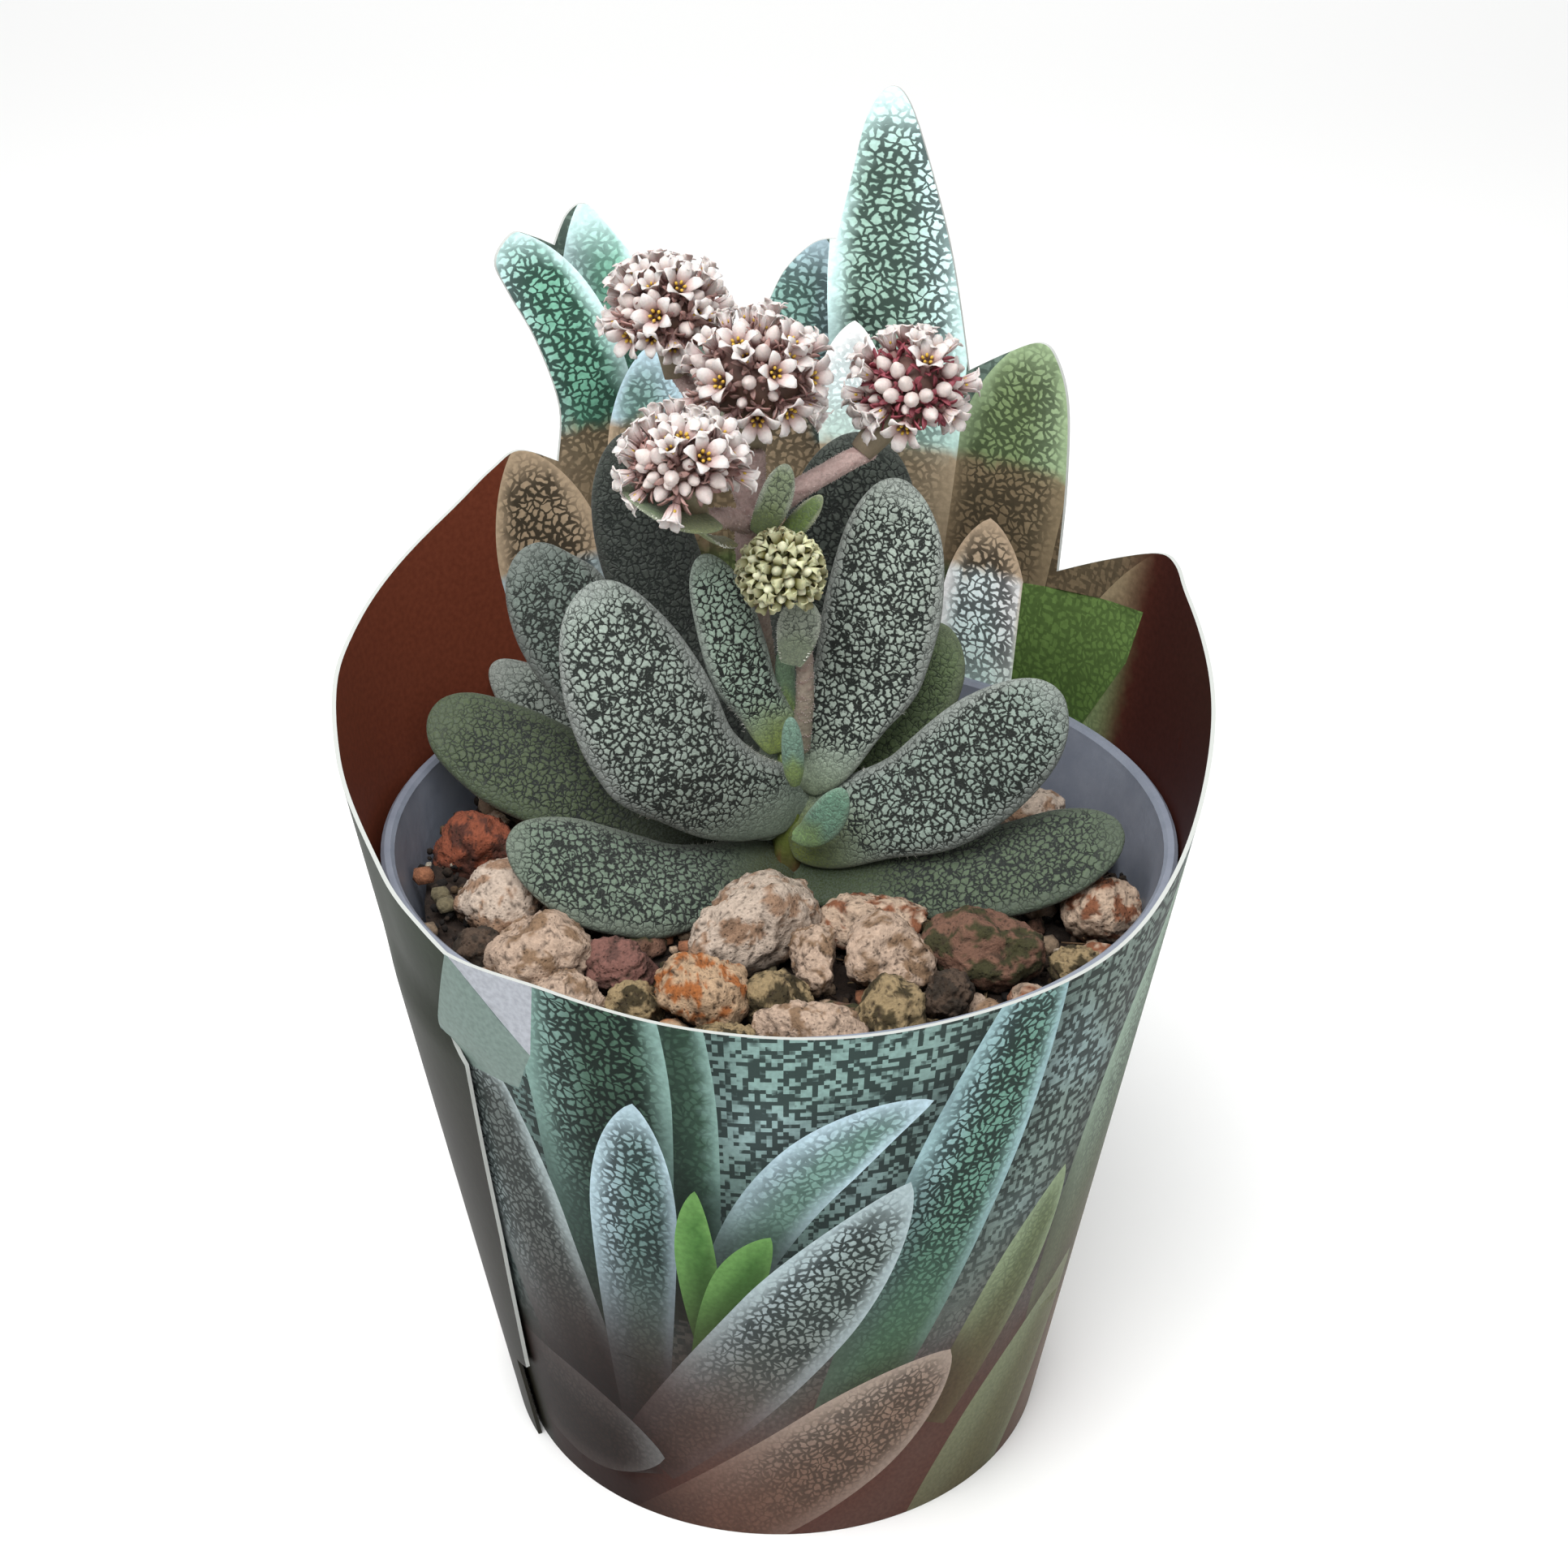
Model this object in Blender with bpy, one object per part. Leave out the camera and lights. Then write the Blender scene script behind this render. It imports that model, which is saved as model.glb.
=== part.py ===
"""A potted crassula: a succulent rosette in flower, in a nursery pot inside a printed card sleeve.

Metres, +Z up. The origin is on the pot's axis, at the underside that it stands on.
-Y is the front, where the sleeve's seam and its low edge are.
"""

import math

import bmesh
import bpy
from mathutils import Euler, Matrix, Vector, geometry

MM = 0.001

# Fits
TOUCH_GAP = 0.3 * MM             # between two pieces that rest on or against each other
SLEEVE_CLEARANCE = 0.35 * MM     # between the pot's rim and the card

# Nursery pot
POT_HEIGHT = 73.0 * MM
POT_RIM_RADIUS = 42.5 * MM
POT_BASE_RADIUS = 29.6 * MM
POT_WALL = 1.2 * MM
POT_FLOOR = 1.6 * MM
RIM_BAND_HEIGHT = 9.0 * MM
RIM_BAND_STEP = 0.5 * MM         # how far the band stands out from the wall at its foot
RIM_BAND_CLEARANCE = 0.5 * MM    # between the band's foot and the card
RIM_LIP = 1.46 * MM
DRAIN_HOLES = 6
DRAIN_HOLE_RADIUS = 3.0 * MM
DRAIN_CIRCLE_RADIUS = 18.0 * MM
POT_SEGMENTS = 48

# Potting mix
MIX_DEPTH_BELOW_RIM = 11.5 * MM
MIX_CROWN = 0.8 * MM
COLLAR_DEPTH = 5.0 * MM          # how deep the stem stands in the mix

# Card sleeve
CARD = 0.45 * MM
FLAP_LIFT = 0.95 * MM            # how far the outer layer stands off the inner one
CARD_STEP = 5.0                  # degrees between folds of the faceted cone

# The card outline, leaves, flowers and stones below are drawn for a pot of this size.
STANDARD_POT_HEIGHT = 73.0
STANDARD_RIM_RADIUS = 42.5 * MM
CARD_UNIT = POT_HEIGHT / STANDARD_POT_HEIGHT
GROWTH = POT_RIM_RADIUS / STANDARD_RIM_RADIUS * MM

# Everything that grows is placed from the stem's collar, in units of GROWTH.
STEM_OFFSET = (1.0, 5.0)
STEM_HEIGHT = 17.5
STEM_RADIUS = 3.0
LEAF_RINGS = 9
LEAF_SIDES = 12

MIX_TOP = POT_HEIGHT - MIX_DEPTH_BELOW_RIM
COLLAR = Vector((STEM_OFFSET[0] * GROWTH, STEM_OFFSET[1] * GROWTH, MIX_TOP))

# name: base, middle and tip of the centre line, the way its broad face looks, width, thickness
LEAVES = {
    "leaf_front_left": ((-4.6, -4.9, 10.2), (-13.6, -6.4, 21.6), (-19.9, -1.9, 38.7),
                        (0.10, -0.85, 0.50), 16.4, 5.6),
    "leaf_left_upper": ((-5.6, 0.4, 8.6), (-22.2, 6.2, 26.4), (-25.4, 9.5, 37.8),
                        (0.25, -0.80, 0.50), 12.8, 4.8),
    "leaf_back_left": ((-5.0, 6.6, 11.4), (-14.4, 15.6, 30.0), (-17.4, 18.4, 47.2),
                       (0.25, -0.90, 0.35), 12.0, 3.8),
    "leaf_centre_left": ((-3.0, -0.6, 17.8), (-5.5, -1.4, 29.6), (-9.1, -1.4, 41.1),
                         (0.25, -0.90, 0.30), 7.4, 2.6),
    "leaf_right_centre": ((4.2, 2.4, 13.4), (9.6, 3.0, 30.0), (10.8, 5.2, 47.0),
                          (-0.20, -0.90, 0.35), 13.6, 5.0),
    "leaf_right": ((4.2, -2.4, 7.6), (18.0, -4.4, 16.3), (27.7, -5.2, 27.9),
                   (0.05, -0.80, 0.60), 14.0, 5.2),
    "leaf_left_lower": ((-4.8, 1.6, 4.2), (-25.6, 5.0, 11.5), (-39.6, 8.0, 18.8),
                        (0.05, -0.55, 0.85), 13.6, 4.6),
    "leaf_front_lower": ((-4.2, -3.4, 3.8), (-17.0, -10.0, 6.6), (-29.4, -10.4, 13.4),
                         (0.10, -0.50, 0.85), 13.4, 4.6),
    "leaf_right_lower": ((4.6, -3.6, 3.0), (22.0, -8.0, 7.0), (35.4, -8.6, 13.2),
                         (0.00, -0.40, 0.92), 12.8, 3.6),
    "leaf_back": ((0.2, 7.6, 14.0), (6.2, 17.6, 30.6), (7.4, 24.0, 45.2),
                  (0.00, -0.95, 0.35), 16.0, 4.0),
    "leaf_right_back": ((4.8, 2.6, 6.2), (12.4, 7.2, 17.6), (16.8, 10.0, 28.2),
                        (-0.15, -0.80, 0.60), 10.4, 3.8),
    "leaf_left_back": ((-3.0, 6.4, 4.0), (-20.6, 15.5, 9.2), (-34.2, 20.6, 18.2),
                       (0.10, -0.70, 0.75), 9.6, 4.0),
    "leaf_rear_lower": ((1.0, 6.4, 7.0), (0.0, 18.0, 11.0), (-2.0, 29.0, 20.0),
                        (0.00, -0.60, 0.80), 11.0, 4.2),
    "young_leaf_front": ((0.6, -4.3, 9.6), (3.2, -6.4, 11.6), (5.8, -8.0, 17.2),
                         (0.00, -0.85, 0.50), 4.4, 2.2),
    "young_leaf_centre": ((-0.2, -0.4, 18.6), (-0.3, 0.4, 24.0), (-0.5, 0.8, 30.0),
                          (0.00, -0.95, 0.30), 2.4, 1.4),
    "young_leaf_inner": ((0.7, -4.3, 15.6), (0.4, -4.9, 19.5), (0.2, -4.9, 24.0),
                         (0.00, -0.95, 0.30), 2.4, 1.4),
}

# name: base, middle, tip, the way its upper face looks, width, thickness
BRACTS = {
    "bract_fork_upright": ((-3.2, -0.7, 43.0), (-1.6, -1.0, 46.4), (-0.2, -1.0, 50.8),
                           (0.20, -0.90, 0.30), 3.6, 0.8),
    "bract_fork_right": ((-1.6, 0.6, 41.4), (0.6, 0.3, 43.4), (3.4, 0.0, 47.0),
                         (0.30, -0.60, 0.80), 2.4, 0.7),
    "bract_left_head": ((-7.6, -8.4, 45.6), (-11.8, -10.2, 46.6), (-16.8, -9.6, 50.0),
                        (0.35, 0.10, 0.90), 7.2, 0.8),
    "bract_fork_left": ((-5.9, -0.6, 42.2), (-7.8, -2.6, 43.2), (-9.6, -4.4, 45.6),
                        (0.40, 0.20, 0.90), 4.0, 0.8),
    "bract_bud_stalk": ((0.3, -5.0, 29.6), (1.0, -5.6, 33.0), (1.2, -6.0, 36.0),
                        (0.00, -0.95, 0.30), 3.6, 0.8),
}

# name: centre, half width, half height
FLOWER_HEADS = {
    "flower_head_centre": ((-3.5, 5.0, 57.8), 7.8, 6.6),
    "flower_head_right": ((12.9, 8.0, 55.4), 6.4, 6.0),
    "flower_head_back_left": ((-12.8, 15.4, 61.4), 6.8, 5.4),
    "flower_head_front_left": ((-10.7, -8.6, 53.6), 6.4, 4.9),
    "bud_head": ((-0.8, -4.6, 40.4), 4.6, 4.4),
}

# the main stalk, then each branch from its fork, as centre points and radii
MAIN_STALK = (
    ((-1.4, 3.4, 18.2), (-3.0, 3.2, 26.0), (-3.8, 2.8, 34.0), (-4.0, 2.4, 42.0), (-3.7, 3.6, 50.6)),
    (1.8, 1.7, 1.6, 1.7, 1.3),
)
BRANCHES = (
    (((-4.0, 2.0, 43.0), (1.4, 3.4, 46.6), (6.2, 5.2, 48.8), (8.9, 6.3, 49.7)),
     (1.3, 1.15, 1.1, 1.0)),
    (((-4.0, 2.0, 43.0), (-6.2, -1.2, 45.0), (-8.6, -5.2, 46.6), (-9.6, -7.4, 47.6)),
     (1.3, 1.1, 1.0, 0.9)),
    (((-4.0, 2.4, 45.0), (-7.0, 7.2, 50.0), (-10.6, 12.6, 54.2), (-12.0, 14.6, 55.4)),
     (1.3, 1.1, 1.0, 0.9)),
)
BUD_STALK = (
    ((1.2, -1.2, 18.2), (1.7, -2.2, 24.0), (1.7, -3.0, 30.0), (0.8, -4.2, 35.4)),
    (1.1, 1.0, 0.9, 0.8),
)

# gravel: place from the collar, length, width, height, turn in degrees, seed of its facets
STONES = (
    (-34.2, 0.4, 8.2, 7.6, 7.4, 10, 1), (-30.6, -10.4, 9.6, 8.4, 7.0, 35, 2),
    (-32.4, -18.6, 5.8, 5.0, 4.6, 70, 3), (-25.8, -20.2, 11.4, 9.4, 6.8, 115, 4),
    (-17.2, -21.6, 7.0, 5.8, 5.2, 5, 5), (-22.4, -28.4, 9.0, 5.8, 5.4, 160, 6),
    (-15.4, -29.4, 5.4, 5.0, 4.8, 0, 7), (-8.6, -28.6, 8.8, 8.2, 7.4, 20, 8),
    (-3.6, -15.4, 14.6, 9.8, 8.2, 50, 9), (2.8, -20.2, 9.4, 4.8, 5.8, 95, 10),
    (8.8, -12.8, 12.6, 7.6, 4.8, 160, 11), (9.9, -21.4, 9.0, 9.2, 7.0, 80, 12),
    (16.0, -27.0, 5.0, 4.6, 4.6, 15, 13), (20.0, -19.6, 11.2, 8.4, 6.8, 170, 14),
    (-1.2, -28.8, 7.0, 5.4, 5.4, 30, 15), (2.4, -34.2, 9.8, 5.6, 5.4, 175, 16),
    (10.4, -30.4, 7.4, 6.2, 5.8, 60, 17), (-6.6, -35.6, 5.8, 4.6, 4.4, 10, 18),
    (33.4, -11.4, 7.6, 7.0, 6.4, 60, 19), (33.0, 3.0, 7.2, 6.6, 6.0, 110, 20),
    (29.4, -20.8, 4.8, 4.4, 4.0, 30, 21), (27.4, 12.6, 8.0, 6.4, 5.2, 140, 22),
    (17.6, 20.0, 9.0, 6.8, 5.4, 35, 23), (-12.6, 25.0, 8.8, 7.0, 5.6, 80, 24),
    (-28.4, 8.6, 6.4, 5.2, 4.6, 120, 25), (6.0, 29.0, 8.0, 6.4, 5.4, 15, 26),
)

# Card outline above the foot: (degrees round from the front, millimetres up at standard size).
# Each stretch is smooth, and its ends are the corners and notches of the die-cut edge.
TAB_CORNER = (-46.0, 75.6)
TAB_FOOT = (-53.2, 64.2)
FLAP_NOTCH = (306.4, 64.9)
FLAP_CORNER = (311.8, 60.6)
FLAP_FOOT = (303.1, 13.2)
UPPER_EDGE = (
    ((316.0, 73.2), (306.0, 75.4), (295.0, 77.0), (283.0, 82.0), (269.0, 88.4), (256.0, 91.2),
     (234.0, 96.6), (224.0, 100.0), (219.0, 101.3), (213.0, 99.0)),
    ((213.0, 99.0), (211.7, 105.1), (213.9, 112.9), (217.0, 118.9), (218.3, 122.6), (215.4, 125.2),
     (212.8, 124.6), (209.8, 123.2)),
    ((209.8, 123.2), (207.6, 126.4), (205.0, 127.2), (202.0, 124.2), (196.0, 117.0), (189.0, 110.5)),
    ((189.0, 110.5), (183.0, 113.0), (179.4, 118.4), (175.6, 121.6), (172.6, 122.2)),
    ((172.6, 122.2), (171.0, 128.8), (169.2, 136.0), (166.6, 139.2), (164.0, 137.4), (160.4, 129.4),
     (157.0, 120.6), (153.4, 108.6)),
    ((153.4, 108.6), (148.0, 111.4), (143.4, 113.2), (140.6, 111.8), (137.8, 107.0), (136.0, 98.0),
     (135.1, 88.3)),
    ((135.1, 88.3), (125.4, 92.2), (116.3, 95.4), (112.0, 95.4), (108.0, 93.4), (100.5, 90.8),
     (88.3, 86.6), (76.0, 81.0), (64.0, 76.9), (50.0, 74.4), (26.0, 74.1), (8.0, 73.9), (-11.0, 74.7),
     (-30.0, 75.8), (-46.0, 75.6)),
)


def clear_scene():
    for thing in list(bpy.data.objects):
        bpy.data.objects.remove(thing, do_unlink=True)


def hex_colour(code):
    """The linear red, green, blue and alpha of an sRGB hex code."""
    channels = [int(code[i:i + 2], 16) / 255 for i in (0, 2, 4)]
    linear = [c / 12.92 if c <= 0.04045 else ((c + 0.055) / 1.055) ** 2.4 for c in channels]
    return (*linear, 1.0)


def material(name, code, roughness, metallic=0.0):
    made = bpy.data.materials.new(name)
    made.use_nodes = True
    shader = made.node_tree.nodes["Principled BSDF"]
    shader.inputs["Base Color"].default_value = hex_colour(code)
    shader.inputs["Roughness"].default_value = roughness
    shader.inputs["Metallic"].default_value = metallic
    return made


def add_object(name, bm, look, smooth=True):
    """Turn a finished bmesh into a named object with its faces pointing out."""
    bmesh.ops.recalc_face_normals(bm, faces=bm.faces)
    mesh = bpy.data.meshes.new(name)
    bm.to_mesh(mesh)
    bm.free()
    mesh.materials.append(look)
    if smooth:
        mesh.shade_smooth()
        mesh.set_sharp_from_angle(angle=math.radians(40))
    thing = bpy.data.objects.new(name, mesh)
    bpy.context.collection.objects.link(thing)
    return thing


def turned(name, profile, look):
    """Spin a closed run of (radius, height) points, both ends on the axis, into a solid."""
    bm = bmesh.new()
    points = [bm.verts.new((radius, 0.0, height)) for radius, height in profile]
    edges = [bm.edges.new(pair) for pair in zip(points, points[1:])]
    bmesh.ops.spin(bm, geom=points + edges, axis=(0, 0, 1), cent=(0, 0, 0),
                   steps=POT_SEGMENTS, angle=math.tau)
    bmesh.ops.remove_doubles(bm, verts=bm.verts, dist=1e-6)
    return add_object(name, bm, look)


def loft(rings, tip=None):
    """Skin a row of equal rings of points. The last one closes to the tip point if given."""
    bm = bmesh.new()
    loops = [[bm.verts.new(point) for point in ring] for ring in rings]
    sides = len(loops[0])
    for low, high in zip(loops, loops[1:]):
        for i in range(sides):
            j = (i + 1) % sides
            bm.faces.new((low[i], low[j], high[j], high[i]))
    bm.faces.new(list(reversed(loops[0])))
    if tip is None:
        bm.faces.new(loops[-1])
    else:
        point = bm.verts.new(tip)
        for i in range(sides):
            bm.faces.new((loops[-1][i], loops[-1][(i + 1) % sides], point))
    return bm


def from_collar(point):
    """A place given in growth units from the stem's collar, as a world point."""
    return COLLAR + Vector(point) * GROWTH


def arc_through(base, middle, tip, share):
    """The point on the quadratic curve that passes its middle point half way."""
    pull = middle * 2 - (base + tip) / 2
    return base * (1 - share) ** 2 + pull * 2 * share * (1 - share) + tip * share ** 2


def blade_width(share, base_share, widest=0.55):
    """Half width of a leaf, as a share of its widest, from base (0) to tip (1)."""
    if share < widest:
        return 1 - (1 - base_share) * (1 - share / widest) ** 2
    return math.sqrt(max(0.0, 1 - ((share - widest) / (1 - widest)) ** 2.3))


def blade(name, base, middle, tip, facing, width, thickness, look, base_share=0.42):
    """A thick, boat-shaped leaf: flatter on the face that looks along facing."""
    base, middle, tip = (from_collar(point) for point in (base, middle, tip))
    facing = Vector(facing).normalized()
    rings = []
    for step in range(LEAF_RINGS):
        share = 0.985 * (1 - (1 - step / (LEAF_RINGS - 1)) ** 1.35)
        centre = arc_through(base, middle, tip, share)
        ahead = arc_through(base, middle, tip, share + 0.01)
        along = (ahead - centre).normalized()
        across = along.cross(facing).normalized()
        out = across.cross(along).normalized()
        half = width * GROWTH / 2 * blade_width(share, base_share)
        depth = thickness * GROWTH / 2 * blade_width(share, 0.75, 0.45)
        ring = []
        for i in range(LEAF_SIDES):
            turn = math.tau * i / LEAF_SIDES
            rise = math.sin(turn) * depth * (0.75 if math.sin(turn) > 0 else 1.25)
            ring.append(centre + across * math.cos(turn) * half + out * rise)
        rings.append(ring)
    return add_object(name, loft(rings, tip), look)


def tube(points, radii, sides=10):
    """Rings of a round, tapering stalk along a row of growth points."""
    path = [from_collar(point) for point in points]
    rings = []
    for i, centre in enumerate(path):
        along = (path[min(i + 1, len(path) - 1)] - path[max(i - 1, 0)]).normalized()
        side = along.cross(Vector((0.2, 1.0, 0.1))).normalized()
        front = along.cross(side)
        radius = radii[i] * GROWTH
        rings.append([centre + side * math.cos(turn) * radius + front * math.sin(turn) * radius
                      for turn in (math.tau * k / sides for k in range(sides))])
    return loft(rings)


def cutter(thing):
    """Hide a shape that only cuts or joins, and leave it out of the part."""
    thing.hide_render = True
    thing.display_type = "WIRE"
    return thing


def combine(thing, other, operation):
    step = thing.modifiers.new(other.name, "BOOLEAN")
    step.operation = operation
    step.solver = "EXACT"
    step.object = cutter(other)


def sleeve_inner(height):
    """Inner radius of the card cone, which clears the pot's foot and its rim."""
    foot = POT_BASE_RADIUS + SLEEVE_CLEARANCE + TOUCH_GAP
    rim = POT_RIM_RADIUS + SLEEVE_CLEARANCE
    return foot + (rim - foot) * height / POT_HEIGHT


def pot_outer(height):
    """Outer radius of the pot's wall below its rim band."""
    band_foot = POT_HEIGHT - RIM_BAND_HEIGHT
    top = sleeve_inner(band_foot) - RIM_BAND_CLEARANCE - RIM_BAND_STEP
    return POT_BASE_RADIUS + (top - POT_BASE_RADIUS) * height / band_foot


def pot_inner(height):
    """Inner radius of the pot's wall."""
    band_foot = POT_HEIGHT - RIM_BAND_HEIGHT
    if height <= band_foot:
        return pot_outer(height) - POT_WALL
    low = pot_outer(band_foot) - POT_WALL
    return low + (POT_RIM_RADIUS - RIM_LIP - low) * (height - band_foot) / RIM_BAND_HEIGHT


def make_pot():
    plastic = material("moulded_polypropylene", "6F7685", 0.45)
    band_foot = POT_HEIGHT - RIM_BAND_HEIGHT
    edge = 0.35 * MM
    profile = [
        (0.0, POT_FLOOR),
        (pot_inner(POT_FLOOR) - 1.5 * MM, POT_FLOOR),
        (pot_inner(POT_FLOOR + 1.5 * MM), POT_FLOOR + 1.5 * MM),
        (pot_inner(band_foot), band_foot),
        (pot_inner(POT_HEIGHT - edge), POT_HEIGHT - edge),
        (POT_RIM_RADIUS - RIM_LIP + edge, POT_HEIGHT),
        (POT_RIM_RADIUS - edge, POT_HEIGHT),
        (POT_RIM_RADIUS, POT_HEIGHT - edge),
        (sleeve_inner(band_foot) - RIM_BAND_CLEARANCE, band_foot + edge),
        (pot_outer(band_foot), band_foot),
        (pot_outer(edge * 2), edge * 2),
        (POT_BASE_RADIUS - edge * 2, 0.0),
        (0.0, 0.0),
    ]
    pot = turned("nursery_pot", profile, plastic)
    for i in range(DRAIN_HOLES):
        turn = math.tau * (i + 0.43) / DRAIN_HOLES
        bm = bmesh.new()
        place = Matrix.Translation((DRAIN_CIRCLE_RADIUS * math.cos(turn),
                                    DRAIN_CIRCLE_RADIUS * math.sin(turn), POT_FLOOR / 2))
        bmesh.ops.create_cone(bm, cap_ends=True, segments=20, radius1=DRAIN_HOLE_RADIUS,
                              radius2=DRAIN_HOLE_RADIUS, depth=POT_FLOOR * 3, matrix=place)
        combine(pot, add_object(f"drain_cutter_{i}", bm, plastic), "DIFFERENCE")
    return pot


def make_mix():
    peat = material("peat_potting_mix", "2A211B", 0.95)
    low = POT_FLOOR + TOUCH_GAP
    bend = POT_FLOOR + 1.5 * MM + TOUCH_GAP
    band_foot = POT_HEIGHT - RIM_BAND_HEIGHT
    knee = min(band_foot, MIX_TOP - 1.0 * MM)
    profile = [
        (0.0, MIX_TOP + MIX_CROWN),
        (pot_inner(MIX_TOP) * 0.6, MIX_TOP + MIX_CROWN),
        (pot_inner(MIX_TOP) - TOUCH_GAP, MIX_TOP),
        (pot_inner(knee) - TOUCH_GAP, knee),
        (pot_inner(bend) - TOUCH_GAP, bend),
        (pot_inner(POT_FLOOR) - 1.5 * MM - TOUCH_GAP, low),
        (0.0, low),
    ]
    mix = turned("potting_mix", profile, peat)
    bm = bmesh.new()
    depth = COLLAR_DEPTH + TOUCH_GAP
    top = MIX_TOP + 2 * MIX_CROWN
    place = Matrix.Translation((COLLAR.x, COLLAR.y, (top + MIX_TOP - depth) / 2))
    bmesh.ops.create_cone(bm, cap_ends=True, segments=20, radius1=stem_radius(0) + TOUCH_GAP,
                          radius2=stem_radius(0) + TOUCH_GAP, depth=top - MIX_TOP + depth, matrix=place)
    combine(mix, add_object("collar_cutter", bm, peat), "DIFFERENCE")
    return mix


def stem_radius(height):
    """The stem narrows towards its top. Height is in growth units above the collar."""
    return STEM_RADIUS * (1 - 0.35 * max(0.0, height) / STEM_HEIGHT) * GROWTH


def make_stem():
    bark = material("leafy_stem", "6B7A34", 0.7)
    rings = []
    depth = COLLAR_DEPTH / GROWTH
    for height in (-depth, 0.0, 4.0, 8.0, 12.0, 15.0, STEM_HEIGHT):
        radius = stem_radius(height)
        rings.append([from_collar((0, 0, height)) + Vector((math.cos(turn), math.sin(turn), 0)) * radius
                      for turn in (math.tau * k / 16 for k in range(16))])
    return add_object("stem", loft(rings), bark)


def make_leaves():
    old = material("old_leaf_skin", "5F7A60", 0.75)
    young = material("young_leaf_skin", "7FA383", 0.7)
    for name, sizes in LEAVES.items():
        blade(name, *sizes, young if name.startswith("young") else old)
    green = material("bract_skin", "8A9A6A", 0.75)
    for name, sizes in BRACTS.items():
        blade(name, *sizes, green, base_share=0.6)


def make_stalks():
    skin = material("flower_stalk_skin", "B08F8B", 0.75)
    stalk = add_object("flower_stalk", tube(*MAIN_STALK), skin)
    for i, (points, radii) in enumerate(BRANCHES):
        combine(stalk, add_object(f"branch_{i}", tube(points, radii), skin), "UNION")
    add_object("bud_stalk", tube(*BUD_STALK), skin)


def make_heads():
    petal = material("flower_cluster", "D9C3BE", 0.7)
    bud = material("bud_cluster", "B9B98A", 0.75)
    for name, (centre, half_width, half_height) in FLOWER_HEADS.items():
        bm = bmesh.new()
        size = Matrix.Diagonal((half_width * GROWTH, half_width * GROWTH, half_height * GROWTH, 1))
        bmesh.ops.create_uvsphere(bm, u_segments=14, v_segments=9, radius=1.0,
                                  matrix=Matrix.Translation(from_collar(centre)) @ size)
        add_object(name, bm, bud if name.startswith("bud") else petal)


def make_stones():
    """Faceted pebbles: a fine sphere whose points are pressed flat against seeded planes."""
    grit = material("pumice_gravel", "B39A80", 0.9)
    for x, y, length, width, height, turn, seed in STONES:
        bm = bmesh.new()
        bmesh.ops.create_icosphere(bm, subdivisions=2, radius=1.0)
        for k in range(7):
            angle = 2.4 * k + seed * 1.7
            level = math.cos(angle * 1.9 + seed)
            flat = Vector((math.cos(angle), math.sin(angle), level * 0.8)).normalized()
            for vert in bm.verts:
                over = vert.co.dot(flat) - 0.80
                if over > 0:
                    vert.co -= flat * over * 0.85
        size = Matrix.Diagonal((length * GROWTH / 2, width * GROWTH / 2, height * GROWTH / 2, 1))
        tilt = Euler((math.radians(9 * math.sin(seed * 2.1)), math.radians(9 * math.cos(seed * 1.3)),
                      math.radians(turn))).to_matrix().to_4x4()
        bm.transform(tilt @ size)
        lowest = min(vert.co.z for vert in bm.verts)
        spot = from_collar((x, y, 0)) + Vector((0, 0, MIX_CROWN + TOUCH_GAP - lowest))
        bm.transform(Matrix.Translation(spot))
        add_object(f"stone_{seed:02d}", bm, grit, smooth=False)


def smooth_run(points, steps=2):
    """A smooth line through the points, each gap cut into equal steps."""
    line = []
    for i in range(len(points) - 1):
        before = Vector(points[max(i - 1, 0)])
        start = Vector(points[i])
        end = Vector(points[i + 1])
        after = Vector(points[min(i + 2, len(points) - 1)])
        for k in range(steps):
            t = k / steps
            line.append(0.5 * ((2 * start) + (end - before) * t
                               + (2 * before - 5 * start + 4 * end - after) * t ** 2
                               + (3 * start - before - 3 * end + after) * t ** 3))
    line.append(Vector(points[-1]))
    return line


def ramp(value, low, high):
    share = min(1.0, max(0.0, (value - low) / (high - low)))
    return share * share * (3 - 2 * share)


def card_lift(angle, level):
    """How far the card stands off its cone where its two ends overlap and lock."""
    if angle < 60:
        return FLAP_LIFT * ramp(-angle, 30, 46) * ramp(level, 59.5, 65.5)
    return FLAP_LIFT * (ramp(angle, 225, 262) - ramp(angle, 278, 294) * ramp(level, 60.5, 66.5))


def card_outline():
    """The flat outline of the card as (degrees, height), run once round."""
    hidden_end = -66.0
    flap_end = 298.0
    line = [(hidden_end, 0.0)]
    angle = hidden_end + CARD_STEP
    while angle < flap_end - 1:
        line.append((angle, 0.0))
        angle += CARD_STEP
    line += [(flap_end, 0.0), (flap_end, 12.0)]
    line += [FLAP_FOOT, (305.1, 21.9), (307.9, 35.3), (310.1, 50.0),
             FLAP_CORNER, FLAP_NOTCH, (312.0, 66.6), (317.0, 67.4)]
    for stretch in UPPER_EDGE:
        line += [tuple(point) for point in smooth_run(stretch)[:-1]]
    line += [TAB_CORNER, TAB_FOOT, (-55.6, 60.0), (-61.0, 56.0), (hidden_end, 50.0), (hidden_end, 25.0)]
    return line


def inside(point, outline):
    """Whether a flat point lies within the outline."""
    x, y = point
    hit = False
    for (x0, y0), (x1, y1) in zip(outline, outline[1:] + outline[:1]):
        if (y0 > y) != (y1 > y) and x < x0 + (y - y0) * (x1 - x0) / (y1 - y0):
            hit = not hit
    return hit


def edge_distance(point, outline):
    """Distance from a flat point to the outline, in the outline's own units."""
    here = Vector(point)
    best = 1e9
    for a, b in zip(outline, outline[1:] + outline[:1]):
        a, b = Vector(a), Vector(b)
        side = b - a
        share = min(1.0, max(0.0, (here - a).dot(side) / max(side.length_squared, 1e-12)))
        best = min(best, (here - a - side * share).length)
    return best


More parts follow.
